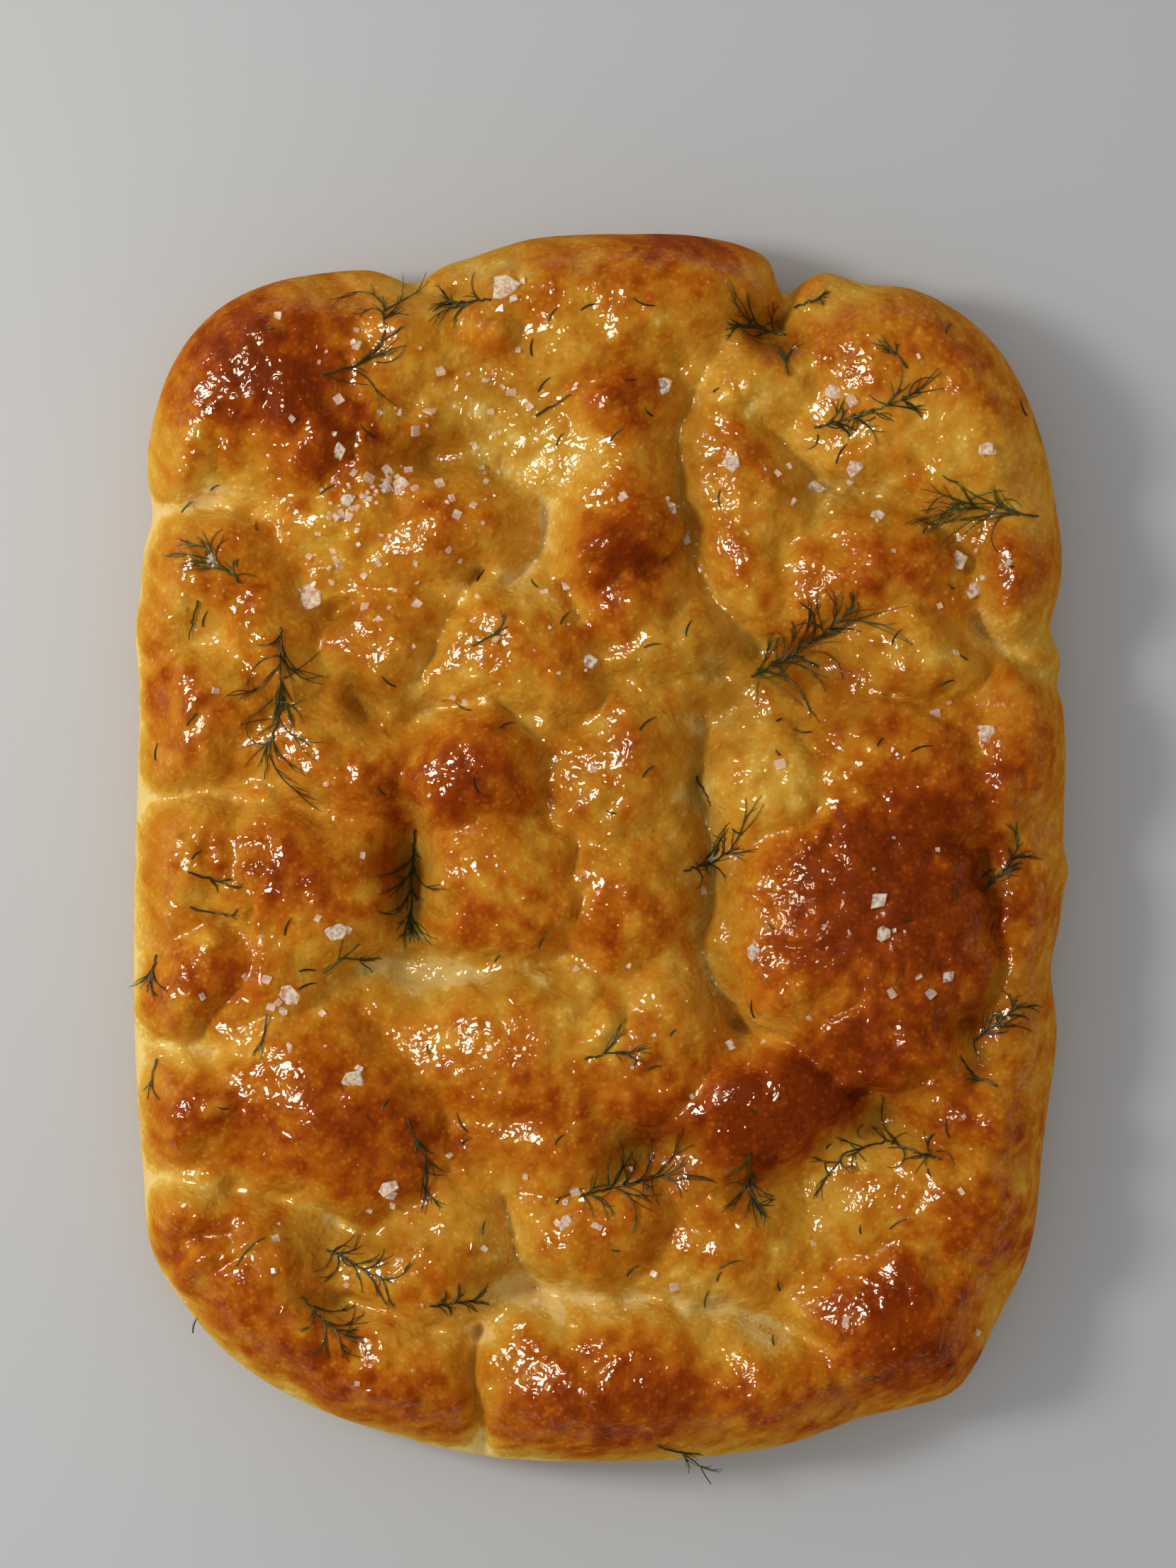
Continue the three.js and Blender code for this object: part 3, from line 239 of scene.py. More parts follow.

# Where the oven caught the crust (+) or left it pale (-), with two patches of painted light and shade marked below: x,
# y, half sizes, turn in degrees, amount.
PLAIN_TOAST = 0.44
TOAST_SHARE = 0.68
FOLD_PALER = 0.15
FOLD_WIDTH = 3.2
RIM_PALER = 0.5
DARK_KNEE = 0.84
DARK_REACH = 0.18
TOAST_AND_PAINTED_SHADING = [
    (-72, 112, 26, 12, 35, 0.30), (-72, 98, 18, 14, 10, 0.72), (-95, 110, 8, 14, -30, 0.25), (-88, 122, 22, 7, 40, 0.15),
    (-98, 92, 6, 10, 0, -0.12), (-90, 76, 14, 3, 0, -0.45), (-58, 82, 12, 10, 0, 0.22), (-50, 93, 10, 5, 0, 0.20),
    (-76, 60, 10, 10, 0, 0.25), (-99, 50, 7, 12, 0, 0.18), (-89, 48, 7, 9, 0, -0.25), (-77, 45, 8, 12, 0, 0.22),
    (-92, 27, 14, 12, 0, 0.28), (-99, 38, 6, 8, 0, 0.20), (-62, 18, 22, 9, -10, 0.16), (-48, 14, 8, 6, 0, 0.18),
    (-80, 0, 22, 8, -10, 0.15), (-66, -10, 18, 14, 0, 0.38), (-98, 0, 6, 14, 0, 0.16), (-88, -12, 8, 5, 0, -0.25),
    (-52, -12, 6, 12, 0, -0.15), (-93, -30, 12, 12, 0, 0.28), (-84, -35, 8, 8, 0, 0.15), (-85, -46, 14, 3.5, 0, -0.42),
    (-60, -58, 26, 20, -20, 0.22), (-48, -66, 16, 14, 0, 0.27), (-90, -60, 11, 10, 0, 0.30), (-72, -72, 14, 6, 0, 0.10),
    (-90, -87, 12, 5, 20, 0.30), (-88, -77, 14, 3, 0, -0.25), (-80, -105, 24, 12, -40, 0.22), (-48, -122, 22, 9, -15, 0.32),
    (-62, -112, 16, 8, -20, 0.15), (-32, -96, 13, 8, 0, 0.18), (-38, -88, 16, 7, 0, -0.22), (-20, -104, 16, 6, 20, -0.30),
    (2, -87, 14, 9, 0, 0.18), (-16, -90, 5, 10, 0, -0.25), (0, -100, 22, 4, 0, -0.35), (-4, -122, 24, 12, 0, 0.48),
    (28, -124, 22, 9, 5, 0.22), (35, -107, 18, 6, 10, -0.25), (-26, -120, 4, 12, 0, -0.25), (30, -92, 14, 8, 0, 0.10),
    (30, -104, 14, 5, -15, -0.30), (68, -107, 18, 12, 20, 0.58), (72, -117, 12, 6, 20, 0.30), (90, -102, 6, 10, -20, -0.20),
    (58, -100, 14, 8, 0, 0.20), (88, -86, 12, 8, 0, 0.36), (62, -84, 14, 8, 0, -0.08), (84, -63, 14, 6, 0, 0.34),
    (75, -94, 14, 3, 0, -0.20), (42, -60, 20, 9, 28, 0.70), (26, -62, 12, 8, 0, 0.30), (48, -50, 12, 8, 0, 0.30),
    (62, -2, 24, 10, 0, 0.50), (60, -20, 18, 12, 0, 0.46), (45, -18, 14, 12, 0, 0.14), (77, -18, 10, 20, 0, 0.32),
    (66, -46, 18, 11, 0, 0.34), (44, -32, 9, 8, 0, -0.09), (74, 15, 12, 10, 0, 0.28), (38, 15, 12, 11, 0, -0.42),
    (52, 26, 14, 5, 0, 0.15), (88, 12, 8, 12, 0, 0.10), (68, 40, 10, 6, 0, -0.25), (74, 36, 5, 4, 0, 0.20),
    (60, 62, 16, 8, 0, 0.20), (74, 58, 7, 7, 0, 0.32), (50, 55, 10, 5, 0, 0.10), (97, 62, 9, 10, 0, 0.28),
    (94, 24, 8, 14, 0, 0.26), (94, -12, 8, 12, 0, 0.36), (96, -45, 8, 10, 0, 0.12), (95, 45, 10, 6, 0, -0.30),
    (86, 106, 14, 12, -30, 0.22), (52, 109, 14, 6, 0, 0.18), (66, 116, 16, 6, 0, 0.10), (80, 88, 10, 8, 0, -0.35),
    (55, 124, 10, 6, 0, -0.20), (92, 75, 8, 5, 0, -0.20), (36, 102, 13, 7, 0, -0.28), (30, 87, 9, 5, 0, 0.26),
    (44, 80, 8, 12, 0, -0.12), (30, 63, 6, 6, 0, 0.15), (50, 76, 12, 5, 0, -0.20), (18, 134, 13, 5, -5, 0.55),
    (8, 128, 26, 8, 0, 0.16), (-22, 112, 8, 6, 0, 0.34), (-30, 128, 9, 5, 0, -0.25), (-10, 112, 26, 5, 0, -0.15),
    (8, 114, 16, 6, 0, 0.06), (-48, 126, 8, 4, 0, -0.25), (5, 100, 10, 7, 0, 0.34), (7, 92, 6, 5, 0, 0.25),
    (-16, 86, 14, 12, 0, -0.27), (-32, 92, 12, 8, 0, -0.25), (-8, 80, 8, 8, 0, -0.20), (4, 68, 12, 10, 0, 0.42),
    (5, 60, 9, 4, 0, 0.40), (12, 56, 9, 6, 0, 0.25), (-12, 62, 3, 8, 0, -0.18), (5, 49, 8, 5, 0, 0.12),
    (-34, 70, 14, 9, 0, 0.16), (-57, 68, 10, 8, 0, -0.20), (-20, 70, 5, 10, 0, -0.10), (-48, 50, 10, 6, 0, 0.22),
    (-46, 40, 9, 6, 0, 0.12), (-10, 43, 14, 8, 0, 0.22), (-28, 42, 12, 8, 0, 0.12), (-20, 33, 14, 5, 0, -0.15),
    (14, 34, 8, 4, -15, 0.20), (20, 44, 14, 7, 0, -0.25), (-25, 15, 14, 11, 10, 0.36), (-32, 8, 10, 6, 0, 0.30),
    (2, 20, 16, 12, 0, -0.12), (12, 6, 12, 14, 0, -0.22), (-20, -10, 18, 12, 0, -0.02), (-24, -20, 14, 5, 0, 0.24),
    (4, -2, 6, 8, 0, 0.20), (8, -19, 13, 7, 0, 0.38), (-38, -4, 3, 16, 0, -0.40), (-30, -30, 26, 4, 0, -0.30),
    (24, -20, 5, 22, 0, -0.20), (18, -30, 9, 8, 0, -0.15), (-18, -45, 20, 10, 0, 0.08), (2, -41, 7, 6, 0, -0.40),
    (0, -58, 24, 8, 0, 0.28), (20, -48, 12, 6, 0, 0.10), (-34, -42, 6, 12, 0, -0.10), (-20, -66, 18, 6, 0, 0.12),
    (46, 40, 14, 8, 0, 0.16), (27, 33, 8, 8, 0, -0.20), (20, 70, 4, 24, 0, -0.12), (46, -78, 8, 7, 0, -0.35),
    # The patch at (-82, 20) is painted light: it makes the whole left side, nearer the window, paler.
    (-52, -84, 16, 4, 0, -0.20), (58, -65, 8, 5, 0, -0.25), (-82, 20, 26, 50, 0, -0.16), (-16, 54, 12, 14, 0, -0.20),
    # The patch at (-43, -1) is painted shadow: it browns the slot's upper part, where the slot's shadow falls.
    (-8, 118, 34, 10, 0, -0.12), (55, 30, 14, 7, 0, 0.03), (-90, 98, 9, 9, 0, -0.25), (70, 104, 12, 9, 0, -0.08), (38, 115, 8, 5, -15, 0.3), (6, 18, 12, 12, 0, 0.2), (-43, -1, 5, 9, 0, 0.30), (72, -84, 22, 10, 0, 0.10),
    (-40, 36, 12, 12, 0, -0.16), (-62, -20, 14, 5, 0, -0.20), (-26, -34, 22, 6, 0, -0.12), (-74, 84, 12, 6, 0, -0.20),
]

# Where the oil film is thin: x, y, half sizes, turn in degrees, share of the film that is missing.
DRY = [
    (56, -20, 20, 18, 10, 0.75), (78, 100, 18, 14, -20, 0.55), (60, -48, 14, 10, 0, 0.4), (80, 24, 20, 14, 0, 0.35),
    (-12, -46, 16, 12, 0, 0.35), (-82, 112, 10, 8, 0, 0.4), (34, 78, 8, 14, 0, 0.5), (66, 66, 16, 8, 0, 0.4),
    (20, -122, 20, 8, 0, 0.3), (92, 38, 9, 12, 0, 1.0), (60, 60, 14, 9, 0, 0.3), (88, 100, 14, 12, -30, 0.35),
]

# Salt flakes: x, y, width, as on the solid.
FLAKES = [
    (-20.5, 122.5, 6), (85.5, 86.5, 4), (29.5, 83.5, 4), (57, 83, 4.5), (48.5, 79, 4), (52, 99.5, 4),
    (14.5, 101.5, 4), (16, 74, 3.5), (62, 72.5, 3), (80, 62.5, 5), (83.5, 56, 4.5), (-57.5, 86.5, 4),
    (-44, 79, 4), (-55.5, 75.5, 3), (-64.5, 54.5, 6), (-2, 40, 3.5), (86, 23.5, 4), (61, -13.5, 4),
    (62, -20.5, 3.5), (76.5, -30, 3), (34, -24.5, 3.5), (-57.5, -20, 5), (-68, -34, 5),
    (-54, -53, 5), (-46, -76, 5.5), (-7, -84, 4),
]

# Single threads of dill: x, y, length, direction in degrees, as on the solid.
BITS = [
    (12, 43, 4, 10), (20, 47, 4, 70), (11, 26, 5, 40), (27, 76, 4, 90), (-2, 118, 4, 20), (10, 119, 5, 160),
    (78, 114, 4, 60), (95, 97, 4, 110), (-76, -90, 9, 45), (-60, 78, 4, 30), (-51, 91, 5, 140), (29, -93, 5, 20),
    (24, -101, 4, 80), (-30, -62, 5, 120), (-64, -32, 4, 20), (54, 86, 5, 60), (34, -37, 4, 100), (4, 90, 4, 45),
    (71, 20, 5, 15), (-30, 30, 4, 150), (-12, -22, 4, 60), (66, -84, 5, 30), (-98, 20, 4, 80), (60, -118, 4, 10),
]

# Dill sprigs: threads, thread length, spread in degrees, bare share of the stem, then the stem's bends.
STEM_END = 0.94
FORK_LENGTH = 1.3
FORK_SHARE = 0.6
CLEAR_OF_THREADS = 0.8
CLEAR_OF_STEM = 0.85
THREAD_CURL = 50
SPRIGS = [
    (10, 9, 55, 0.2, -61, 103, -52, 106, -47, 112, -48, 122),
    (6, 6, 50, 0.1, -24, 120, -34, 121),
    (8, 7, 60, 0.1, 42, 114, 36, 116, 30, 115),
    (5, 4, 45, 0.3, 44, 120, 51, 122),
    (4, 5, 40, 0.2, 42, 103, 41, 109),
    (4, 5, 40, 0.2, 68, 104, 64, 109),
    (12, 8, 60, 0, 48, 92, 60, 94.5, 69, 98),
    (11, 12, 38, 0.1, 98, 72.5, 89, 73, 78, 76),
    (7, 7, 50, 0.1, -79, 57, -84, 61, -88, 66),
    (2, 3, 40, 0.3, -88.5, 53, -91, 45),
    (13, 11, 55, 0, -70, 47, -70, 30, -74, 14),
    (3, 4, 40, 0.3, -90, -7, -79, -10.5),
    (3, 4, 35, 0.3, -90, -14.5, -80, -17),
    (9, 6, 40, 0.1, -41, 3, -42, -10, -42, -22),
    (3, 4, 50, 0.2, -61, -29, -55, -25, -50, -29),
    (2, 3, 40, 0.3, -73, -38, -74, -48),
    (3, 5, 60, 0.1, -98, -25, -100, -33),
    (2, 3, 40, 0.3, -98, -48, -100, -57),
    (4, 5, 60, 0.1, -3, -48, 5, -46, 10, -49),
    (6, 6, 45, 0.1, -42, -61, -38, -70, -39, -79),
    (12, 8, 60, 0, -4, -78, 8, -75, 19, -73),
    (7, 6, 50, 0, 33, -68, 33, -76, 36, -83),
    (11, 7, 55, 0, 75, -70, 64, -66, 54, -69, 48, -78),
    (8, 7, 55, 0, -60, -90, -52, -94, -45, -97),
    (7, 6, 50, 0.1, -65, -100, -60, -105, -53, -110),
    (6, 5, 50, 0.1, -37, -102, -27, -101),
    (7, 6, 45, 0.1, 85, -11, 90, -6, 94, 0),
    (8, 6, 50, 0, 83, -44, 88, -40, 93, -36),
    (2, 4, 40, 0.2, 88, -54, 81, -51),
    (7, 8, 60, 0.1, 19, -6.5, 26, -4, 31, -1),
    (1, 3, 30, 0.4, 22, 15, 25, 8),
    (17, 11, 60, 0, 34, 37, 45, 43, 58, 52),
    (3, 4, 45, 0.2, 13, -133, 21, -136.5, 25, -142.5),
    (2, 4, 45, 0.2, -28, 43, -20, 47),
    (2, 3, 40, 0.3, -14, 95, -6, 99.5),
]


# ---------------------------------------------------------------- shape of the slab

def outline_radius(angle):
    """Distance from the middle to the rim in a direction, at the widest height."""
    c, s = np.cos(angle), np.sin(angle)
    length = np.where(s > 0, TOP_LENGTH, BOTTOM_LENGTH)
    upper = np.where(c > 0, CORNER_TOP_RIGHT, CORNER_TOP_LEFT)
    lower = np.where(c > 0, CORNER_BOTTOM_RIGHT, CORNER_BOTTOM_LEFT)
    n = np.where(s > 0, upper, lower)
    radius = (np.abs(c / HALF_WIDTH) ** n + np.abs(s / length) ** n) ** (-1 / n)
    x, y = radius * c, radius * s
    for rim_x, rim_y, out, half, abrupt in RIM:
        away = np.hypot(x - rim_x, y - rim_y) / half
        radius = radius + out * np.exp(-0.5 * away ** abrupt)
    return radius


def soft_max(a, b):
    """The larger of two heights, rounded where they cross."""
    h = np.clip(0.5 + 0.5 * (a - b) / BLEND, 0, 1)
    return b + (a - b) * h + BLEND * h * (1 - h)


def ellipse_distance(x, y, ellipse):
    """Distance from a turned ellipse's middle: 1 on the ellipse."""
    middle_x, middle_y, half_x, half_y, turn = ellipse[:5]
    c, s = math.cos(math.radians(turn)), math.sin(math.radians(turn))
    dx, dy = x - middle_x, y - middle_y
    return np.hypot((dx * c + dy * s) / half_x, (dy * c - dx * s) / half_y)


def bend_distance(x, y, bends):
    """Distance in plan from a bent line."""
    nearest = np.full(np.shape(x), 1e9)
    for x0, y0, x1, y1 in zip(bends[0::2], bends[1::2], bends[2::2], bends[3::2]):
        along_x, along_y = x1 - x0, y1 - y0
        dot = (x - x0) * along_x + (y - y0) * along_y
        t = np.clip(dot / (along_x ** 2 + along_y ** 2), 0, 1)
        nearest = np.minimum(nearest, np.hypot(x - x0 - t * along_x, y - y0 - t * along_y))
    return nearest


def warp(x, y):
    """Slow waves that keep the pillows from being true ellipses."""
    wave_x = 1.9 * np.sin(y / 8.3 + 1.1) + 1.2 * np.sin((x + y) / 5.1 + 0.4)
    wave_y = 1.9 * np.sin(x / 7.7 + 2.3) + 1.2 * np.sin((x - y) / 5.7 + 1.9)
    small_x = 0.8 * np.sin((x - 1.7 * y) / 3.7)
    small_y = 0.8 * np.sin((1.6 * x + y) / 3.9 + 0.8)
    return x + wave_x + small_x, y + wave_y + small_y


def lumps(x, y, size, seed):
    """Smooth uneven ground from -0.5 to 0.5, with lumps of a size in millimetres."""
    count = 512
    lattice = np.random.RandomState(seed).rand(count, count) - 0.5
    u, v = x / size + 200, y / size + 200
    i, j = np.floor(u).astype(int), np.floor(v).astype(int)
    fu, fv = u - i, v - j
    fu, fv = fu * fu * (3 - 2 * fu), fv * fv * (3 - 2 * fv)
    i0, i1, j0, j1 = i % count, (i + 1) % count, j % count, (j + 1) % count
    low = lattice[i0, j0] * (1 - fu) + lattice[i1, j0] * fu
    high = lattice[i0, j1] * (1 - fu) + lattice[i1, j1] * fu
    return low * (1 - fv) + high * fv


# Small blisters of the crust: count, radii, and rise as a share of the radius.
BLISTERS = 520
BLISTER_RADII = (0.9, 3.4)
BLISTER_RISE = 0.22
BLISTER_PALER = 0.28
PUFF_BROWNER = 0.1


def blisters(x, y):
    """Height of the small blisters that steam raises under the skin."""
    rng = np.random.RandomState(11)
    height = np.zeros(np.shape(x))
    for _ in range(BLISTERS):
        cx, cy = rng.uniform(-100, 100), rng.uniform(-132, 132)
        small, large = BLISTER_RADII
        radius = small + (large - small) * rng.rand() ** 2.6
        squash = rng.uniform(0.75, 1.3)
        near = (np.abs(x - cx) < 1.4 * radius) & (np.abs(y - cy) < 1.4 * radius)
        q = np.hypot((x[near] - cx) * squash, (y[near] - cy) / squash) / radius
        dome = BLISTER_RISE * radius * np.clip(1 - q * q, 0, 1) ** 0.75
        height[near] = np.maximum(height[near], dome)
    return height


def puffs(x, y):
    """Puffed skin: swellings of 8 mm and of 4 mm that meet in narrow folds."""
    wx, wy = warp(x, y)
    u, v = 0.84 * wx + 0.54 * wy, 0.84 * wy - 0.54 * wx
    wide = np.abs(lumps(u, v, 8.3, 4))
    u, v = 0.5 * wx - 0.87 * wy, 0.5 * wy + 0.87 * wx
    narrow = np.abs(lumps(u + 3 * lumps(x, y, 6.0, 6), v, 4.1, 5))
    return 2.3 * wide + 1.5 * narrow - 0.5


def relief(x, y):
    """Height of the crust above the valleys."""
    height = np.zeros(np.shape(x))
    wx, wy = warp(x, y)
    for pillow in PILLOWS.values():
        rise, edge = pillow[5:]
        q = ellipse_distance(wx, wy, pillow)
        dome = rise * np.clip(1 - q * q, 0, 1) ** (DOME_POWER * edge)
        height = soft_max(height, dome - FOLD_SLOPE * np.clip(q - 1, 0, 2))
    for dimple in DIMPLES.values():
        q = ellipse_distance(x, y, dimple)
        height = height - dimple[5] * np.exp(-0.5 * (q / DIMPLE_EDGE) ** HOLLOW_POWER)
    for half, depth, *bends in CREASES.values():
        away = bend_distance(x, y, bends)
        height = height - depth / (1 + (away / half) ** HOLLOW_POWER) - CREASE_BITE * np.exp(-(away / 1.3) ** 2)
    for half, depth, *bends in WRINKLES.values():
        height = height - depth * np.exp(-(bend_distance(wx, wy, bends) / half) ** 2)
    rough = 0.9 * lumps(x, y, 9.0, 1) + 0.5 * lumps(x, y, 4.4, 2) + 0.35 * lumps(x, y, 2.1, 3)
    return height + rough + puffs(x, y) + blisters(x, y)


class CrustTable:
    """Heights of the finished top on a grid of 0.8 mm, for what lies on the crust."""

    STEP = 0.8
    HALF_X, HALF_Y = 112.0, 148.0

    def __init__(self):
        x, y = np.meshgrid(np.arange(-self.HALF_X, self.HALF_X + self.STEP, self.STEP),
                           np.arange(-self.HALF_Y, self.HALF_Y + self.STEP, self.STEP), indexing="ij")
        inset = outline_radius(np.arctan2(y, x)) - np.hypot(x, y)
        share = np.sqrt(1 - (1 - np.clip(inset / SHOULDER, 0, 1)) ** 2)
        height = SIDE_HEIGHT + (VALLEY_HEIGHT + relief(x, y) - SIDE_HEIGHT) * share
        self.heights = np.where(inset > 0, height, PAST_RIM - 1)

    def at(self, x, y):
        u = (np.asarray(x, float) + self.HALF_X) / self.STEP
        v = (np.asarray(y, float) + self.HALF_Y) / self.STEP
        i, j = np.floor(u).astype(int), np.floor(v).astype(int)
        fu, fv = u - i, v - j
        h = self.heights
        low = h[i, j] * (1 - fu) + h[i + 1, j] * fu
        high = h[i, j + 1] * (1 - fu) + h[i + 1, j + 1] * fu
        return low * (1 - fv) + high * fv


def toast_and_painted_shading(x, y, z):
    """How brown the crust is, with the painted light and shade of two patches in it: 0 is pale dough and 1 the darkest
    bubble.
    """
    wx, wy = warp(x, y)
    # On the wall the pattern also changes with height, so it doesn't run down in streaks.
    down = 0.8 * np.clip(30 - z, 0, 30)
    u, v = x + down, y - down
    wx = wx + 0.9 * np.sin(v / 2.1) + 0.7 * np.sin((u + 2 * v) / 1.6)
    wy = wy + 0.9 * np.sin(u / 1.9 + 0.6) + 0.7 * np.sin((2.1 * u - v) / 1.7)
    total = np.full(np.shape(x), PLAIN_TOAST)
    for patch in TOAST_AND_PAINTED_SHADING:
        q = ellipse_distance(wx, wy, patch)
        total = total + TOAST_SHARE * patch[5] * np.exp(-0.7 * q ** 2.4)
    total = total + 0.012 * (np.clip(z, 29, 50) - 33) + 0.25 * lumps(u, v, 3.1, 21) + 0.17 * lumps(u, v, 1.4, 22)
    total = total - BLISTER_PALER * blisters(x, y) + PUFF_BROWNER * puffs(x, y)
    for _, _, *bends in CREASES.values():
        total = total - FOLD_PALER * np.exp(-(bend_distance(x, y, bends) / FOLD_WIDTH) ** 2)
    leeward = np.clip((-0.9 * x - 0.45 * y) / 80, 0, 1)
    total = total - RIM_PALER * leeward * np.clip((25 - z) / 8, 0, 1)
    side = np.clip((z - 7) / 11, 0, 1)
    wall = 0.2 + 0.3 * np.clip(1 - z / 6, 0, 1) + 0.12 * lumps(x + z, y - z, 6.0, 23) + 0.08 * lumps(x - z, y + z, 2.4, 24)
    total = np.where(total > DARK_KNEE, DARK_KNEE + DARK_REACH * (1 - np.exp(-(total - DARK_KNEE) / DARK_REACH)), total)
    return total * side + wall * (1 - side)


def to_frame(points):
    """Millimetres about the slab's middle to metres in the frame."""
    return (np.asarray(points, float) + np.array([SHIFT[0], SHIFT[1], 0])) * MM


def new_piece(name, points, faces, material):
    mesh = bpy.data.meshes.new(name)
    mesh.from_pydata(to_frame(points).tolist(), [], faces)
    mesh.polygons.foreach_set("use_smooth", [True] * len(mesh.polygons))
    mesh.materials.append(material)
    mesh.update()
    piece = bpy.data.objects.new(name, mesh)
    bpy.context.scene.collection.objects.link(piece)
    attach(piece, "root")
    return piece


def crust_piece(material):
    """The whole skin: a grid whose outer rings turn over the shoulder, the side, and a flat foot."""
    i, j = np.meshgrid(np.arange(CELLS_ACROSS + 1), np.arange(CELLS_ALONG + 1), indexing="ij")
    edge = np.minimum(np.minimum(i, CELLS_ACROSS - i), np.minimum(j, CELLS_ALONG - j))
    ring = np.minimum(edge, SHOULDER_RINGS)
    u = (2 * i - CELLS_ACROSS) / (CELLS_ACROSS - 2 * ring)
    v = (2 * j - CELLS_ALONG) / (CELLS_ALONG - 2 * ring)
    reach = np.maximum(np.abs(u), np.abs(v))
    angle = np.arctan2(v * np.where(v > 0, TOP_LENGTH, BOTTOM_LENGTH), u * HALF_WIDTH)
    outline = outline_radius(angle)
    turn = ring / SHOULDER_RINGS * math.pi / 2
    on_shoulder = outline - SHOULDER * (1 - np.cos(turn))
    radius = np.where(edge < SHOULDER_RINGS, on_shoulder, (outline - SHOULDER) * reach)
    x, y = radius * np.cos(angle), radius * np.sin(angle)
    share = np.where(edge < SHOULDER_RINGS, np.sin(turn), 1.0)
    z = SIDE_HEIGHT + (VALLEY_HEIGHT + relief(x, y) - SIDE_HEIGHT) * share
    points = [np.stack([x, y, z], axis=-1).reshape(-1, 3)]
    index = np.arange((CELLS_ACROSS + 1) * (CELLS_ALONG + 1)).reshape(CELLS_ACROSS + 1, -1)
    quads = np.stack([index[:-1, :-1], index[1:, :-1], index[1:, 1:], index[:-1, 1:]], axis=-1)
    faces = quads.reshape(-1, 4).tolist()
    rim = np.concatenate([index[:-1, 0], index[-1, :-1], index[:0:-1, -1], index[0, :0:-1]])
    rim_points = points[0][rim]
    rim_radius = np.hypot(rim_points[:, 0], rim_points[:, 1])
    upper = rim
    count = index.size
    for level in range(1, SIDE_RINGS + 1):
        bend = level / SIDE_RINGS * math.pi / 2
        height = SIDE_HEIGHT * (1 - math.sin(bend))
        waver = 0.7 * lumps(rim_points[:, 0] + 3 * height, rim_points[:, 1], 7.0, 31) * math.sin(2 * bend)
        scale = (rim_radius - TUCK * (1 - math.cos(bend)) - 0.3 + waver) / rim_radius
        lower_points = rim_points * scale[:, None]
        lower_points[:, 2] = height
        points.append(lower_points)
        lower = np.arange(count, count + len(rim))
        count += len(rim)
        band = np.stack([upper, lower, np.roll(lower, -1), np.roll(upper, -1)], axis=-1)
        faces += band.tolist()
        upper = lower
    points.append(np.array([[0.0, 0.0, 0.0]]))
    faces += [[count, b, a] for a, b in zip(upper.tolist(), np.roll(upper, -1).tolist())]
    points = np.concatenate(points)
    piece = new_piece("crust", points, faces, material)
    brown_and_painted_shading = toast_and_painted_shading(points[:, 0], points[:, 1], points[:, 2])
    upright = np.empty(len(points) * 3)
    piece.data.vertex_normals.foreach_get("vector", upright)
    oiled = np.clip((upright[2::3] - 0.6) / 0.22, 0, 1) * np.clip((points[:, 2] - 14) / 6, 0, 1)
    for patch in DRY:
        oiled = oiled * (1 - patch[5] * np.exp(-0.7 * ellipse_distance(points[:, 0], points[:, 1], patch) ** 4))
    # Painted shade for the hollows and folds, kept on each point.
    painted_hollow_shade = np.zeros(len(points))
    for patch in PAINTED_HOLLOW_SHADE:
        painted_hollow_shade = np.maximum(painted_hollow_shade, patch[5] * np.exp(-0.7 * ellipse_distance(*warp(*points.T[:2]), patch) ** 2.4))
    for name, values in (("toast_and_painted_shading", brown_and_painted_shading), ("oiled", oiled), ("painted_hollow_shade", painted_hollow_shade)):
        attribute = piece.data.attributes.new(name, "FLOAT", "POINT")
        attribute.data.foreach_set("value", values.astype(np.float32))
    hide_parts("loaf")
    return piece


# ---------------------------------------------------------------- salt and dill

class Dice:
    """The same seeded stream of numbers from 0 to 1 as the solids use."""

    def __init__(self, seed):
        self.state = seed

    def roll(self):
        self.state = self.state * 16807 % 2147483647
        return self.state / 2147483647


FLAKE_THICKNESS = 0.7


def plate_mesh(x, y, width, lift, rng):
    """One thin plate of salt: near square, with broken corners and bevelled edges, tilted as it fell."""
    corners = rng.randint(4, 7)
    angles = (np.arange(corners) + rng.uniform(-0.18, 0.18, corners)) / corners * 2 * math.pi
    reach = 0.6 * width * rng.uniform(0.78, 1.08, corners)
    rim = np.column_stack([reach * np.cos(angles), reach * np.sin(angles) * rng.uniform(0.7, 1.0)])
    turn = rng.uniform(0, math.pi)
    rim = rim @ np.array([[math.cos(turn), math.sin(turn)], [-math.sin(turn), math.cos(turn)]])
    slope = rng.uniform(-0.2, 0.2, 2)
    rings = []
    for share, level in ((0.92, -0.5), (1.0, 0.1), (0.86, 0.5)):
        height = level * FLAKE_THICKNESS + (rim * share) @ slope
        rings.append(np.column_stack([rim * share, height]))
    points = np.concatenate(rings) + [x, y, crust.at(x, y) + lift]
    faces = [list(range(corners))[::-1], list(range(2 * corners, 3 * corners))]
    for r in range(2):
        for k in range(corners):
            a, b = r * corners + k, r * corners + (k + 1) % corners
            faces.append([a, b, b + corners, a + corners])
    return points, faces


def flake_meshes(x, y, width, seed):
    """A flake of salt: a wide plate, most with a broken piece or two stuck to it."""
    rng = np.random.RandomState(seed)
    plates = [plate_mesh(x, y, width, 0.4, rng)]
    for _ in range(rng.randint(0, 3)):
        dx, dy = rng.normal(0, 0.4 * width, 2)
        plates.append(plate_mesh(x + dx, y + dy, width * rng.uniform(0.25, 0.45), 0.5, rng))
    return plates


def join(parts):
    """Joins (points, faces) pairs into one."""
    points, faces, count = [], [], 0
    for some_points, some_faces in parts:
        points.append(np.asarray(some_points, float))
        faces += [[v + count for v in face] for face in some_faces]
        count += len(some_points)
    return np.concatenate(points), faces


def salt_piece(material):
    parts = [plate for k, flake in enumerate(FLAKES) for plate in flake_meshes(*flake, 101 + k)]
    piece = new_piece("salt_flakes", *join(parts), material)
    piece.data.polygons.foreach_set("use_smooth", [False] * len(piece.data.polygons))
    return piece


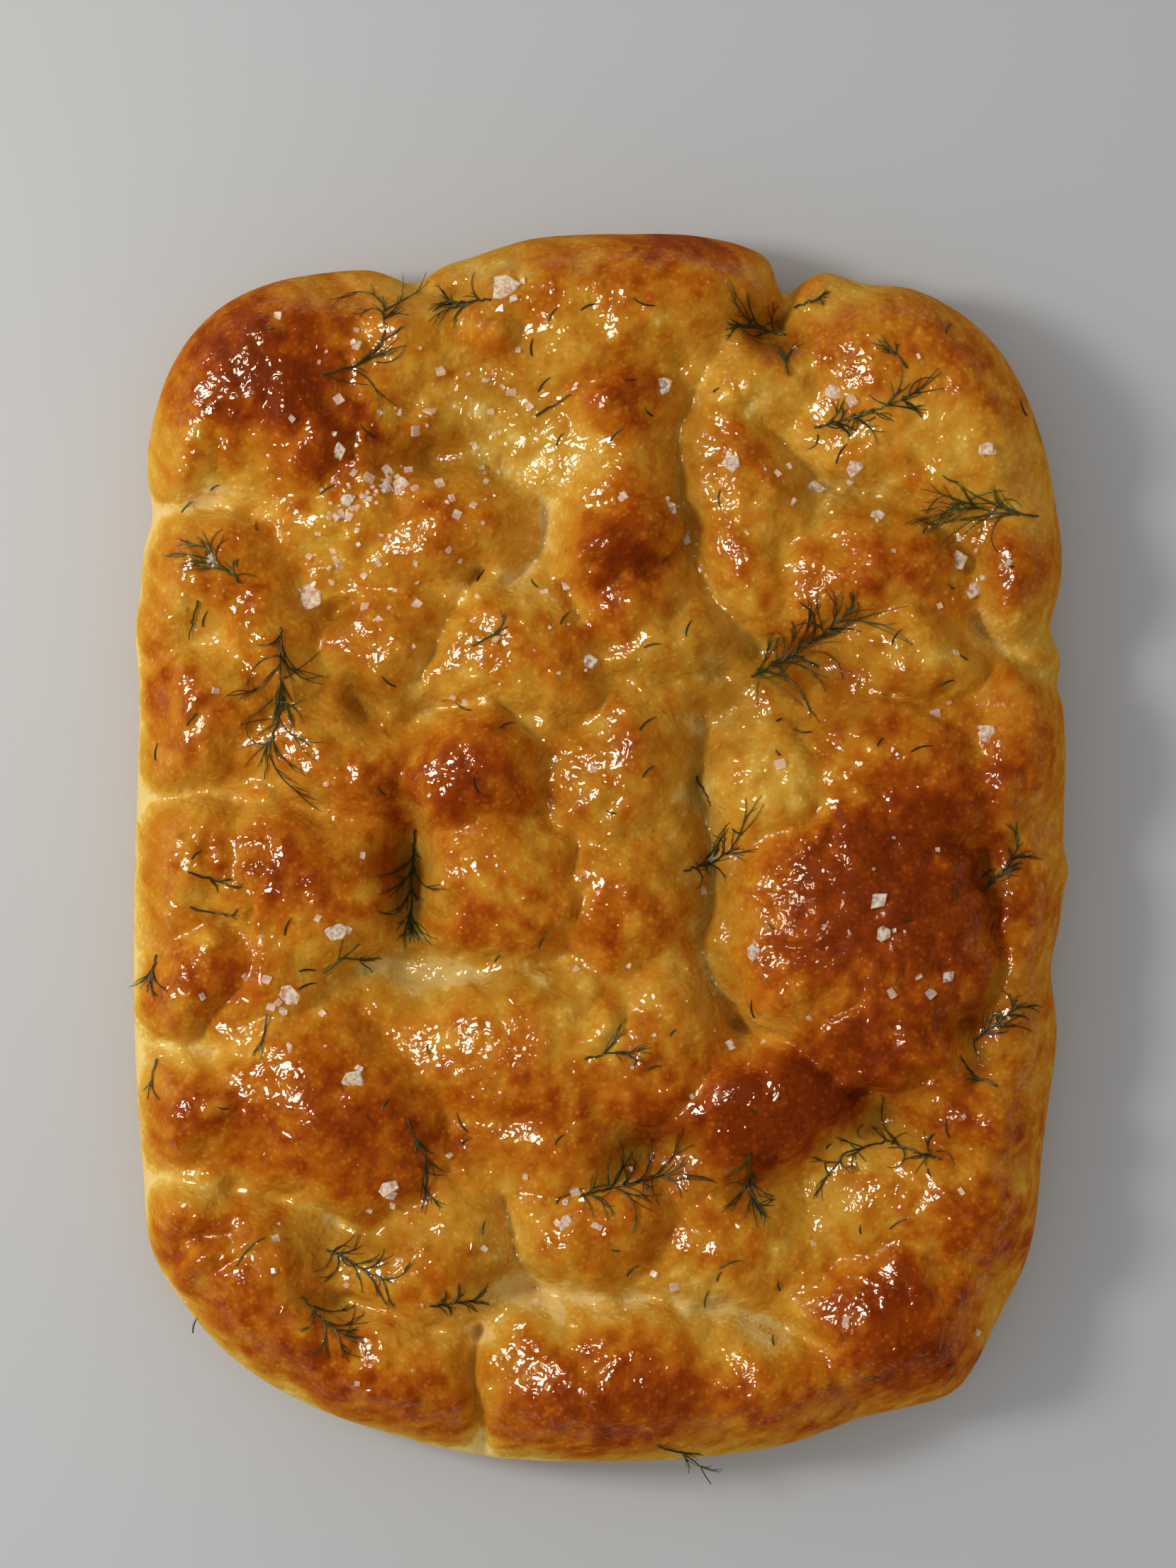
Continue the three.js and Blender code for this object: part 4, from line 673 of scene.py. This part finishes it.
# Heaps of small salt crystals: x, y, spread, count. The rest lie singly.
HEAPS = [
    (-47, 79, 2.6, 26), (-54, 76, 2.6, 14), (-58, 73, 2.2, 8), (-60, 62, 2.4, 8), (-38, 66, 6, 16), (-40, 92, 8, 14),
    (-28, 106, 7, 10), (-62, 108, 9, 8), (-22, 84, 9, 16), (-52, 58, 8, 14), (20, -38, 9, 12), (60, -28, 11, 5),
    (-20, 40, 14, 14), (-70, -36, 8, 8), (10, -92, 16, 12), (80, 60, 6, 8), (-60, -95, 12, 8), (30, 90, 18, 10),
]
SINGLE_CRYSTALS = 45
CRYSTAL_SIZES = (0.6, 2.4)


def crystal_piece(material):
    """Broken crystals, flat and near square, half sunk in the oil."""
    rng = np.random.RandomState(5)
    places = [(rng.normal(x, spread), rng.normal(y, spread)) for x, y, spread, count in HEAPS for _ in range(count)]
    places += [(rng.uniform(-92, 92), rng.uniform(-122, 122)) for _ in range(SINGLE_CRYSTALS)]
    x, y = np.transpose(places)
    small, large = CRYSTAL_SIZES
    size = small + (large - small) * rng.rand(len(x)) ** 1.7
    stretch = np.column_stack([size, size * rng.uniform(0.55, 1, len(x)), size * rng.uniform(0.22, 0.5, len(x))])
    turn = np.column_stack([rng.normal(0, 0.45, (len(x), 2)), rng.uniform(0, math.pi, len(x))])
    points = np.column_stack([x, y, crust.at(x, y) + 0.3 * stretch[:, 2]])
    return grown_piece("salt_crystals", CRYSTALS, points, [], {"turn": turn, "stretch": stretch * MM}, Finish=material)


def round_threads():
    """A tree that makes each line a closed round thread, as thick as its points' "thickness" says."""
    tree = bpy.data.node_groups.new("round_threads", "GeometryNodeTree")
    for name, kind in (("Lines", "Geometry"), ("Sides", "Int"), ("Finish", "Material")):
        tree.interface.new_socket(name, in_out="INPUT", socket_type="NodeSocket" + kind)
    tree.interface.new_socket("Threads", in_out="OUTPUT", socket_type="NodeSocketGeometry")
    given = add_node(tree, "NodeGroupInput").outputs
    thickness = add_node(tree, "GeometryNodeInputNamedAttribute", {"Name": "thickness"})
    line = add_node(tree, "GeometryNodeMeshToCurve", {"Mesh": given["Lines"]})
    ring = add_node(tree, "GeometryNodeCurvePrimitiveCircle", {"Resolution": given["Sides"], "Radius": 1.0})
    tube = add_node(tree, "GeometryNodeCurveToMesh", {
        "Curve": line.outputs["Curve"], "Profile Curve": ring.outputs["Curve"],
        "Scale": thickness.outputs["Attribute"], "Fill Caps": True})
    real = add_node(tree, "GeometryNodeRealizeInstances", {"Geometry": tube.outputs["Mesh"]})
    done = add_node(tree, "GeometryNodeSetMaterial", {"Geometry": real.outputs["Geometry"],
                                                     "Material": given["Finish"]})
    add_node(tree, "NodeGroupOutput", {"Threads": done.outputs["Geometry"]})
    return tree


def scattered_crystals():
    """A tree that puts a small salt crystal at each point, turned and stretched as the point says."""
    tree = bpy.data.node_groups.new("scattered_crystals", "GeometryNodeTree")
    for name, kind in (("Places", "Geometry"), ("Finish", "Material")):
        tree.interface.new_socket(name, in_out="INPUT", socket_type="NodeSocket" + kind)
    tree.interface.new_socket("Crystals", in_out="OUTPUT", socket_type="NodeSocketGeometry")
    given = add_node(tree, "NodeGroupInput").outputs
    turn = add_node(tree, "GeometryNodeInputNamedAttribute", {"Name": "turn"}, data_type="FLOAT_VECTOR")
    stretch = add_node(tree, "GeometryNodeInputNamedAttribute", {"Name": "stretch"}, data_type="FLOAT_VECTOR")
    block = add_node(tree, "GeometryNodeMeshCube", {"Size": (1.0, 1.0, 1.0)})
    placed = add_node(tree, "GeometryNodeInstanceOnPoints", {
        "Points": given["Places"], "Instance": block.outputs["Mesh"],
        "Rotation": turn.outputs["Attribute"], "Scale": stretch.outputs["Attribute"]})
    real = add_node(tree, "GeometryNodeRealizeInstances", {"Geometry": placed.outputs["Instances"]})
    done = add_node(tree, "GeometryNodeSetMaterial", {"Geometry": real.outputs["Geometry"],
                                                     "Material": given["Finish"]})
    add_node(tree, "NodeGroupOutput", {"Crystals": done.outputs["Geometry"]})
    return tree


def grown_piece(name, tree, points, lines, values, **sizes):
    """Runs a tree on points and lines that carry named values, and keeps the result as a plain mesh."""
    mesh = bpy.data.meshes.new(name)
    mesh.from_pydata(to_frame(points).tolist(), lines, [])
    for label, numbers in values.items():
        numbers = np.asarray(numbers, np.float32)
        kind, field = ("FLOAT", "value") if numbers.ndim == 1 else ("FLOAT_VECTOR", "vector")
        mesh.attributes.new(label, kind, "POINT").data.foreach_set(field, numbers.ravel())
    piece = bpy.data.objects.new(name, mesh)
    bpy.context.scene.collection.objects.link(piece)
    modifier = piece.modifiers.new("grow", "NODES")
    modifier.node_group = tree
    for socket in tree.interface.items_tree:
        if socket.name in sizes:
            modifier[socket.identifier] = sizes[socket.name]
    made = bpy.data.meshes.new_from_object(piece.evaluated_get(bpy.context.evaluated_depsgraph_get()))
    piece.modifiers.remove(modifier)
    piece.data = made
    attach(piece, "root")
    return piece


def thread_piece(name, threads, sides, material):
    """One piece from threads, each a laid path and the radii along it."""
    points, lines, radii = [], [], []
    for path, thickness in threads:
        first = len(points)
        points += path.tolist()
        radii += (np.asarray(thickness) * MM).tolist()
        lines += [(first + k, first + k + 1) for k in range(len(path) - 1)]
    piece = grown_piece(name, THREADS, points, lines, {"thickness": radii}, Sides=sides, Finish=material)
    piece.data.polygons.foreach_set("use_smooth", [True] * len(piece.data.polygons))
    return piece


def lay(plan, radius):
    """Lays a thread's plan on the crust: it dips less than the crust does and never sinks in."""
    plan = np.asarray(plan, float)
    around = [(0, 0), (radius, 0), (-radius, 0), (0, radius), (0, -radius)]
    ground = np.max([crust.at(plan[:, 0] + dx, plan[:, 1] + dy) for dx, dy in around], axis=0)
    padded = np.pad(ground, 1, mode="edge")
    smooth = (padded[:-2] + 2 * padded[1:-1] + padded[2:]) / 4
    level = np.maximum(ground, smooth) + radius + 0.12
    return np.column_stack([plan, level])


def smooth_plan(corners, steps):
    """A rounded line in plan through its corners."""
    corners = np.asarray(corners, float)
    ends = np.vstack([2 * corners[0] - corners[1], corners, 2 * corners[-1] - corners[-2]])
    plan = []
    for p, q, r, s in zip(ends, ends[1:], ends[2:], ends[3:]):
        for t in np.linspace(0, 1, steps, endpoint=False):
            plan.append(0.5 * (2 * q + (r - p) * t + (2 * p - 5 * q + 4 * r - s) * t ** 2
                               + (3 * q - p - 3 * r + s) * t ** 3))
    plan.append(corners[-1])
    return np.array(plan)


def place_along(bends, share):
    """The place at a share of the way along a bent line."""
    places = np.asarray(bends, float).reshape(-1, 2)
    gaps = np.hypot(*np.diff(places, axis=0).T)
    left = share * gaps.sum()
    k = 0
    while k < len(gaps) - 1 and left > gaps[k]:
        left -= gaps[k]
        k += 1
    return places[k] + (places[k + 1] - places[k]) * (left / gaps[k])


def link_distance(one, other):
    """Nearest distance in plan between two straight links."""
    nearest = 1e9
    for k in range(9):
        p = one[0] + (one[1] - one[0]) * k / 8
        q = other[0] + (other[1] - other[0]) * k / 8
        nearest = min(nearest, float(bend_distance(p[0], p[1], [*other[0], *other[1]])))
        nearest = min(nearest, float(bend_distance(q[0], q[1], [*one[0], *one[1]])))
    return nearest


def stem_shares(threads, bare, stem_length):
    """Where the stem's nodes are: its root, two for each pair of threads, its tip."""
    pairs = (threads + 1) // 2
    step = (STEM_END - bare) / pairs
    fork = min(FORK_LENGTH / stem_length, FORK_SHARE * step)
    shares = [0]
    for pair in range(pairs):
        share = bare + step * (pair + 0.3)
        shares += [share, share + fork]
    return shares + [1]


def sprig_threads(sprig, seed):
    """The stem's nodes in plan, and each thread's base, middle and tip, as on the solid."""
    threads, length, spread, bare, *bends = sprig
    dice = Dice(seed)
    runs = np.diff(np.reshape(bends, (-1, 2)), axis=0)
    stem = [place_along(bends, share) for share in stem_shares(threads, bare, np.hypot(*runs.T).sum())]
    links = [(stem[k], stem[k + 1]) for k in range(len(stem) - 1)]
    laid = [(link, -1) for link in links]
    grown = []
    for k in range(threads):
        pair = k // 2
        side = -1 if k % 2 else 1
        fork = links[1 + 2 * pair]
        base = fork[0] + (fork[1] - fork[0]) * 2 / 3
        heading = math.atan2(*(fork[1] - fork[0])[::-1])
        opening = math.radians(spread) * (0.75 + 0.5 * dice.roll())
        angle = heading + side * opening
        full = 0.5 * length * (0.65 + 0.5 * dice.roll())
        bent = angle + side * (0.5 - dice.roll()) * math.radians(THREAD_CURL)
        for reach in (full, 0.75 * full, 0.5 * full):
            middle = base + reach * np.array([math.cos(angle), math.sin(angle)])
            tip = middle + reach * np.array([math.cos(bent), math.sin(bent)])
            apart = all(
                other is fork
                or (link_distance((middle, tip), other) > CLEAR_OF_THREADS
                    and (of in (-1, pair) or link_distance((base, middle), other) > CLEAR_OF_THREADS))
                for other, of in laid)
            if apart and reach * math.sin(opening) > CLEAR_OF_STEM:
                laid += [((base, middle), pair), ((middle, tip), pair)]
                grown.append((base, middle, tip, side))
                break
    return stem, grown


STEM_RADIUS = 0.26
THREAD_RADIUS = 0.18
HAIR_RADIUS = 0.12
TANGLE_FROM = 5


def curved_plan(start, heading, length, curl, steps=7):
    """A thread in plan that sets off in a heading and curls by an angle over its length."""
    plan = [np.asarray(start, float)]
    for k in range(steps):
        heading = heading + curl / steps
        plan.append(plan[-1] + length / steps * np.array([math.cos(heading), math.sin(heading)]))
    return np.array(plan)


def sprig_threads_laid(sprig, seed):
    """A limp frond: a stem, its threads with curled tips, and finer threads that leave each at a narrow angle."""
    stem, grown = sprig_threads(sprig, seed)
    rng = np.random.RandomState(seed)
    stem_plan = smooth_plan(stem, 3)
    stem_plan[1:] += rng.normal(0, 0.16, (len(stem_plan) - 1, 2))
    threads = [(lay(stem_plan, STEM_RADIUS), np.linspace(STEM_RADIUS, 0.13, len(stem_plan)))]
    for base, middle, tip, side in grown:
        nearest = np.argmin(np.hypot(*(stem_plan - base).T))
        forward = stem_plan[nearest] - stem_plan[0]
        length = np.hypot(*(tip - base)) * rng.uniform(0.7, 1.7)
        root = stem_plan[np.clip(nearest + rng.randint(-2, 3), 0, len(stem_plan) - 1)]
        way = tip - base
        start = math.atan2(forward[1], forward[0]) + rng.uniform(-0.2, 0.2)
        bend = (math.atan2(way[1], way[0]) - start + math.pi) % (2 * math.pi) - math.pi
        plan = curved_plan(root, start + 0.3 * bend, length, bend * rng.uniform(0.3, 1.7) + rng.uniform(-0.6, 0.6), 9)
        threads.append((lay(plan, THREAD_RADIUS), np.linspace(THREAD_RADIUS, 0.08, len(plan))))
        for _ in range(rng.randint(2, 6)):
            first = rng.randint(0, 7)
            step = plan[first + 1] - plan[first]
            turn = rng.choice([-1, 1]) * rng.uniform(0.15, 0.7)
            reach = length * rng.uniform(0.35, 0.9) * (1 - 0.07 * first)
            hair = curved_plan(plan[first], math.atan2(step[1], step[0]) + turn, reach, -turn * rng.uniform(-1.0, 2.6))
            threads.append((lay(hair, HAIR_RADIUS), np.linspace(HAIR_RADIUS, 0.06, len(hair))))
    for _ in range(max(0, sprig[0] - TANGLE_FROM)):
        root = stem_plan[rng.randint(0, len(stem_plan))] + rng.normal(0, 0.8, 2)
        loop = curved_plan(root, rng.uniform(0, 2 * math.pi), sprig[1] * rng.uniform(0.5, 1.0), rng.uniform(-2.6, 2.6), 10)
        threads.append((lay(loop, THREAD_RADIUS), np.linspace(0.15, 0.08, len(loop))))
    return threads


def sprig_pieces(material):
    for k, sprig in enumerate(SPRIGS):
        number = f"{k + 1:02d}"
        piece = thread_piece(f"dill_frond_{number}", sprig_threads_laid(sprig, 501 + 13 * k), 5, material)
        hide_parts(f"dill_sprig_{number}")


LOOSE_BITS = 70


def bits_piece(material):
    """Single threads of dill stuck to the crust."""
    rng = np.random.RandomState(77)
    bits = list(BITS)
    for _ in range(LOOSE_BITS):
        bits.append((rng.uniform(-92, 92), rng.uniform(-122, 122), rng.uniform(1.6, 4.2), rng.uniform(0, 180)))
    threads = []
    for x, y, length, direction in bits:
        c, s = math.cos(math.radians(direction)), math.sin(math.radians(direction))
        plan = []
        for t in np.linspace(-0.5, 0.5, 6):
            bend = 0.2 * length * (0.25 - t * t) * 2
            plan.append((x + t * length * c - bend * s, y + t * length * s + bend * c))
        laid = lay(plan, 0.2)
        laid[:, 2] -= 0.18
        threads.append((laid, [0.16, 0.2, 0.2, 0.18, 0.14, 0.07]))
    return thread_piece("dill_bits", threads, 4, material)


# ---------------------------------------------------------------- finishes

def colour(code):
    """An sRGB hex value as a linear colour."""
    channels = [int(code[k:k + 2], 16) / 255 for k in (1, 3, 5)]
    return [c / 12.92 if c <= 0.04045 else ((c + 0.055) / 1.055) ** 2.4 for c in channels] + [1.0]


def add_node(tree, kind, inputs=None, **settings):
    """Adds a node, sets its properties, and sets or links its inputs."""
    made = tree.nodes.new(kind)
    for name, value in settings.items():
        setattr(made, name, value)
    for name, value in (inputs or {}).items():
        if isinstance(value, bpy.types.NodeSocket):
            tree.links.new(value, made.inputs[name])
        else:
            made.inputs[name].default_value = value
    return made


def new_material(name):
    material = bpy.data.materials.new(name)
    material.use_nodes = True
    tree = material.node_tree
    tree.nodes.clear()
    shader = add_node(tree, "ShaderNodeBsdfPrincipled")
    add_node(tree, "ShaderNodeOutputMaterial", {"Surface": shader.outputs["BSDF"]})
    return material, tree, shader


def oiled_crust():
    """Baked bread crust brushed with olive oil: thin, blistered skin under a wet film."""
    material, tree, shader = new_material("oiled_bread_crust")
    place = add_node(tree, "ShaderNodeTexCoord").outputs["Object"]
    brown_and_painted_shading = add_node(tree, "ShaderNodeAttribute", attribute_name="toast_and_painted_shading").outputs["Fac"]
    # Mottling in patches of 5 mm and speckles of 1 mm, as uneven heat leaves them.
    mottle = add_node(tree, "ShaderNodeTexNoise", {"Vector": place, "Scale": 1 / (5 * MM), "Detail": 5.0, "Roughness": 0.6})
    speckle = add_node(tree, "ShaderNodeTexNoise", {"Vector": place, "Scale": 1 / (1.0 * MM), "Detail": 3.0})
    patchy = add_node(tree, "ShaderNodeMath", {0: mottle.outputs["Fac"], 1: 0.3, 2: -0.15}, operation="MULTIPLY_ADD")
    speckled = add_node(tree, "ShaderNodeMath", {0: speckle.outputs["Fac"], 1: 0.2, 2: -0.1}, operation="MULTIPLY_ADD")
    uneven = add_node(tree, "ShaderNodeMath", {0: patchy.outputs[0], 1: speckled.outputs[0]}, operation="ADD")
    # Pin-head blisters, 1.8 mm apart: they bake paler than the skin between them.
    pins = add_node(tree, "ShaderNodeTexVoronoi", {"Vector": place, "Scale": 1 / (1.8 * MM)})
    paler = add_node(tree, "ShaderNodeMapRange", {"Value": pins.outputs["Distance"], "From Min": 0.05, "From Max": 0.4,
                                                 "To Min": -0.13, "To Max": 0.04})
    dotted = add_node(tree, "ShaderNodeMath", {0: uneven.outputs[0], 1: paler.outputs[0]}, operation="ADD")
    shade = add_node(tree, "ShaderNodeMath", {0: brown_and_painted_shading, 1: dotted.outputs[0]}, operation="ADD")
    ramp = add_node(tree, "ShaderNodeValToRGB", {"Fac": shade.outputs[0]})
    stops = [(0.0, "#EFCB7C"), (0.08, "#E6B953"), (0.2, "#DBA33A"), (0.34, "#D29328"), (0.5, "#C87B18"), (0.66, "#B86009"),
             (0.82, "#9E4203"), (1.0, "#7C2C01")]
    while len(ramp.color_ramp.elements) < len(stops):
        ramp.color_ramp.elements.new(0.5)
    for element, (position, code) in zip(ramp.color_ramp.elements, stops):
        element.position = position
        element.color = colour(code)
    # Oil-soaked dough in the hollows lets less light back and turns olive.
    # Painted shade: in the hollows and folds the colour is multiplied by an olive grey, standing in for the shade that
    # falls there.
    painted_hollow_shade = add_node(tree, "ShaderNodeAttribute", attribute_name="painted_hollow_shade").outputs["Fac"]
    shaded_in_hollows = add_node(tree, "ShaderNodeMixRGB", {"Fac": painted_hollow_shade, "Color1": ramp.outputs["Color"],
                                                "Color2": colour("#C6B882")}, blend_type="MULTIPLY")
    tree.links.new(shaded_in_hollows.outputs["Color"], shader.inputs["Base Color"])
    # The skin: soft wrinkles of 4 mm, domes of 2 mm and of 1 mm, and a fine grain.
    wrinkles = add_node(tree, "ShaderNodeTexNoise", {"Vector": place, "Scale": 1 / (4.2 * MM), "Detail": 2.0,
                                                    "Roughness": 0.5, "Distortion": 0.4})
    grain = add_node(tree, "ShaderNodeTexNoise", {"Vector": place, "Scale": 1 / (0.7 * MM), "Detail": 1.0})
    cells = add_node(tree, "ShaderNodeTexVoronoi", {"Vector": place, "Scale": 1 / (3.3 * MM)})
    domes = add_node(tree, "ShaderNodeMapRange", {"Value": cells.outputs["Distance"], "From Min": 0.0, "From Max": 0.34,
                                                 "To Min": 1.0, "To Max": 0.0}, interpolation_type="SMOOTHSTEP")
    pin_domes = add_node(tree, "ShaderNodeMapRange", {"Value": pins.outputs["Distance"], "From Min": 0.0, "From Max": 0.42,
                                                     "To Min": 1.0, "To Max": 0.0}, interpolation_type="SMOOTHSTEP")
    folded = add_node(tree, "ShaderNodeBump", {"Height": wrinkles.outputs["Fac"], "Distance": 0.8 * MM, "Strength": 0.9})
    domed = add_node(tree, "ShaderNodeBump", {"Height": domes.outputs[0], "Distance": 0.22 * MM, "Strength": 0.9,
                                             "Normal": folded.outputs["Normal"]})
    pinned = add_node(tree, "ShaderNodeBump", {"Height": pin_domes.outputs[0], "Distance": 0.08 * MM, "Strength": 0.9,
                                              "Normal": domed.outputs["Normal"]})
    skin = add_node(tree, "ShaderNodeBump", {"Height": grain.outputs["Fac"], "Distance": 0.05 * MM, "Strength": 0.6,
                                            "Normal": pinned.outputs["Normal"]})
    tree.links.new(skin.outputs["Normal"], shader.inputs["Normal"])
    # The oil evens out the grain but puckers between the blisters, so its glints are torn into pieces of 1 to 3 mm.
    puckers = add_node(tree, "ShaderNodeTexNoise", {"Vector": place, "Scale": 1 / (2.8 * MM), "Detail": 0.7,
                                                   "Roughness": 0.5, "Distortion": 1.2})
    puckered = add_node(tree, "ShaderNodeBump", {"Height": puckers.outputs["Fac"], "Distance": 0.62 * MM,
                                                "Strength": 0.9, "Normal": domed.outputs["Normal"]})
    oil = add_node(tree, "ShaderNodeBump", {"Height": pin_domes.outputs[0], "Distance": 0.04 * MM,
                                           "Strength": 0.9, "Normal": puckered.outputs["Normal"]})
    tree.links.new(oil.outputs["Normal"], shader.inputs["Coat Normal"])
    # The oil lies in patches: wet places are sharp mirrors, drier ones a soft sheen. The sides stay dry.
    oiled = add_node(tree, "ShaderNodeAttribute", attribute_name="oiled").outputs["Fac"]
    wet = add_node(tree, "ShaderNodeTexNoise", {"Vector": place, "Scale": 1 / (14 * MM), "Detail": 3.0})
    film = add_node(tree, "ShaderNodeMapRange", {"Value": wet.outputs["Fac"], "From Min": 0.35, "From Max": 0.65,
                                                "To Min": 0.3, "To Max": 0.45})
    dry = add_node(tree, "ShaderNodeMapRange", {"Value": oiled, "To Min": 0.45, "To Max": 0.0})
    rough = add_node(tree, "ShaderNodeMath", {0: film.outputs[0], 1: dry.outputs[0]}, operation="ADD")
    tree.links.new(rough.outputs[0], shader.inputs["Roughness"])
    coat = add_node(tree, "ShaderNodeMapRange", {"Value": oiled, "To Min": 0.0, "To Max": 1.0})
    tree.links.new(coat.outputs[0], shader.inputs["Coat Weight"])
    shader.inputs["IOR"].default_value = 1.46
    shader.inputs["Specular IOR Level"].default_value = 0.06
    shader.inputs["Coat Roughness"].default_value = 0.03
    shader.inputs["Coat IOR"].default_value = 1.47
    shader.inputs["Subsurface Weight"].default_value = 0.2
    shader.inputs["Subsurface Radius"].default_value = (0.003, 0.0014, 0.0006)
    shader.inputs["Subsurface Scale"].default_value = 1.0
    return material


def flaky_salt():
    """Sea-salt flakes: crystal gone milky with fine cracks, bright where it catches the light."""
    material, tree, shader = new_material("flaky_sea_salt")
    place = add_node(tree, "ShaderNodeTexCoord").outputs["Object"]
    cloud = add_node(tree, "ShaderNodeTexNoise", {"Vector": place, "Scale": 1 / (1.1 * MM), "Detail": 3.0})
    clear = add_node(tree, "ShaderNodeMapRange", {"Value": cloud.outputs["Fac"], "From Min": 0.4, "From Max": 0.62,
                                                 "To Min": 0.3, "To Max": 0.8})
    tree.links.new(clear.outputs[0], shader.inputs["Transmission Weight"])
    bump = add_node(tree, "ShaderNodeBump", {"Height": cloud.outputs["Fac"], "Distance": 0.2 * MM, "Strength": 0.5})
    tree.links.new(bump.outputs["Normal"], shader.inputs["Normal"])
    shader.inputs["Base Color"].default_value = colour("#FFF0D8")
    shader.inputs["Roughness"].default_value = 0.18
    shader.inputs["IOR"].default_value = 1.54
    return material


def clear_salt():
    """Small crystals of salt: clear, with frosted faces, so the crust shows through."""
    material, tree, shader = new_material("clear_salt_crystals")
    place = add_node(tree, "ShaderNodeTexCoord").outputs["Object"]
    frost = add_node(tree, "ShaderNodeTexNoise", {"Vector": place, "Scale": 1 / (2.5 * MM), "Detail": 2.0})
    rough = add_node(tree, "ShaderNodeMapRange", {"Value": frost.outputs["Fac"], "From Min": 0.35, "From Max": 0.65,
                                                 "To Min": 0.08, "To Max": 0.4})
    tree.links.new(rough.outputs[0], shader.inputs["Roughness"])
    shader.inputs["Base Color"].default_value = colour("#FFF3DE")
    shader.inputs["IOR"].default_value = 1.4
    shader.inputs["Transmission Weight"].default_value = 0.6
    return material


def oily_dill():
    """Dill threads wilted in oil: dark green, lighter in patches."""
    material, tree, shader = new_material("oiled_dill_threads")
    place = add_node(tree, "ShaderNodeTexCoord").outputs["Object"]
    tint = add_node(tree, "ShaderNodeTexNoise", {"Vector": place, "Scale": 1 / (18 * MM), "Detail": 4.0})
    ramp = add_node(tree, "ShaderNodeValToRGB", {"Fac": tint.outputs["Fac"]})
    ramp.color_ramp.elements[0].position = 0.35
    ramp.color_ramp.elements[0].color = colour("#20270F")
    ramp.color_ramp.elements[1].position = 0.68
    ramp.color_ramp.elements[1].color = colour("#49511F")
    tree.links.new(ramp.outputs["Color"], shader.inputs["Base Color"])
    shader.inputs["Roughness"].default_value = 0.38
    shader.inputs["IOR"].default_value = 1.45
    return material


def pale_table():
    """A matt painted surface, light warm grey."""
    material, tree, shader = new_material("matt_pale_paint")
    place = add_node(tree, "ShaderNodeTexCoord").outputs["Object"]
    cloud = add_node(tree, "ShaderNodeTexNoise", {"Vector": place, "Scale": 6.0, "Detail": 4.0})
    ramp = add_node(tree, "ShaderNodeValToRGB", {"Fac": cloud.outputs["Fac"]})
    ramp.color_ramp.elements[0].color = colour("#BCBCBC")
    ramp.color_ramp.elements[1].color = colour("#C4C4C3")
    tree.links.new(ramp.outputs["Color"], shader.inputs["Base Color"])
    shader.inputs["Roughness"].default_value = 0.6
    return material


# ---------------------------------------------------------------- camera, light and floor

# The view is 346 mm high where the slab lies, from nearly straight above.
VIEW_HEIGHT = 347.8
CAMERA_DISTANCE = 900
CAMERA_TILT = 3.0
VIEW_MIDDLE = (-2.3, 12.8, 28)


def add_camera():
    data = bpy.data.cameras.new("camera")
    data.sensor_width = 36
    data.lens = data.sensor_width * CAMERA_DISTANCE / VIEW_HEIGHT
    camera = bpy.data.objects.new("camera", data)
    bpy.context.scene.collection.objects.link(camera)
    target = Vector(to_frame(VIEW_MIDDLE))
    tilt = math.radians(CAMERA_TILT)
    back = Vector((0, -math.sin(tilt), math.cos(tilt)))
    camera.location = target + back * CAMERA_DISTANCE * MM
    camera.rotation_mode = "QUATERNION"
    camera.rotation_quaternion = (-back).to_track_quat("-Z", "Y")
    bpy.context.scene.camera = camera


def add_area_light(name, place, size, power, tint, mirrored=True, diffused=True):
    """A flat lamp that faces the slab. It can be left out of the oil's glints, or out of all but the glints."""
    data = bpy.data.lights.new(name, "AREA")
    data.shape = "RECTANGLE"
    data.size, data.size_y = size
    data.energy = power
    data.color = colour(tint)[:3]
    light = bpy.data.objects.new(name, data)
    bpy.context.scene.collection.objects.link(light)
    light.location = place
    light.rotation_mode = "QUATERNION"
    light.rotation_quaternion = (Vector((0, 0, 0.02)) - Vector(place)).to_track_quat("-Z", "Y")
    light.visible_glossy = mirrored
    light.visible_diffuse = diffused


def add_floor(material):
    mesh = bpy.data.meshes.new("floor")
    half = 1.6
    mesh.from_pydata([(-half, -half, 0), (half, -half, 0), (half, half, 0), (-half, half, 0)], [], [[0, 1, 2, 3]])
    mesh.materials.append(material)
    floor = bpy.data.objects.new("floor", mesh)
    bpy.context.scene.collection.objects.link(floor)


def plain_colours():
    """Colours come out as they are set, with no film-like curve over them."""
    bpy.context.scene.view_settings.view_transform = "Standard"


def add_world():
    world = bpy.data.worlds.new("room_light")
    world.use_nodes = True
    background = world.node_tree.nodes["Background"]
    background.inputs["Color"].default_value = colour("#C6C8CA")
    background.inputs["Strength"].default_value = 0.87
    world.cycles_visibility.glossy = False
    bpy.context.scene.world = world


add_camera()
plain_colours()
add_world()
add_area_light("window", (-0.62, 0.1, 0.66), (0.2, 0.17), 3.35, "#FFFFFF", mirrored=False)
add_area_light("window_pane", (-0.58, 0.18, 0.64), (0.3, 0.3), 13.0, "#FFF0D4", diffused=False)
add_area_light("window_wall", (-0.9, 0.1, 0.62), (1.5, 1.1), 1.1, "#FFFFFF", mirrored=False)
add_floor(pale_table())

THREADS = round_threads()
CRYSTALS = scattered_crystals()
crust = CrustTable()
crust_piece(oiled_crust())
salt_piece(flaky_salt())
crystal_piece(clear_salt())
dill = oily_dill()
sprig_pieces(dill)
bits_piece(dill)
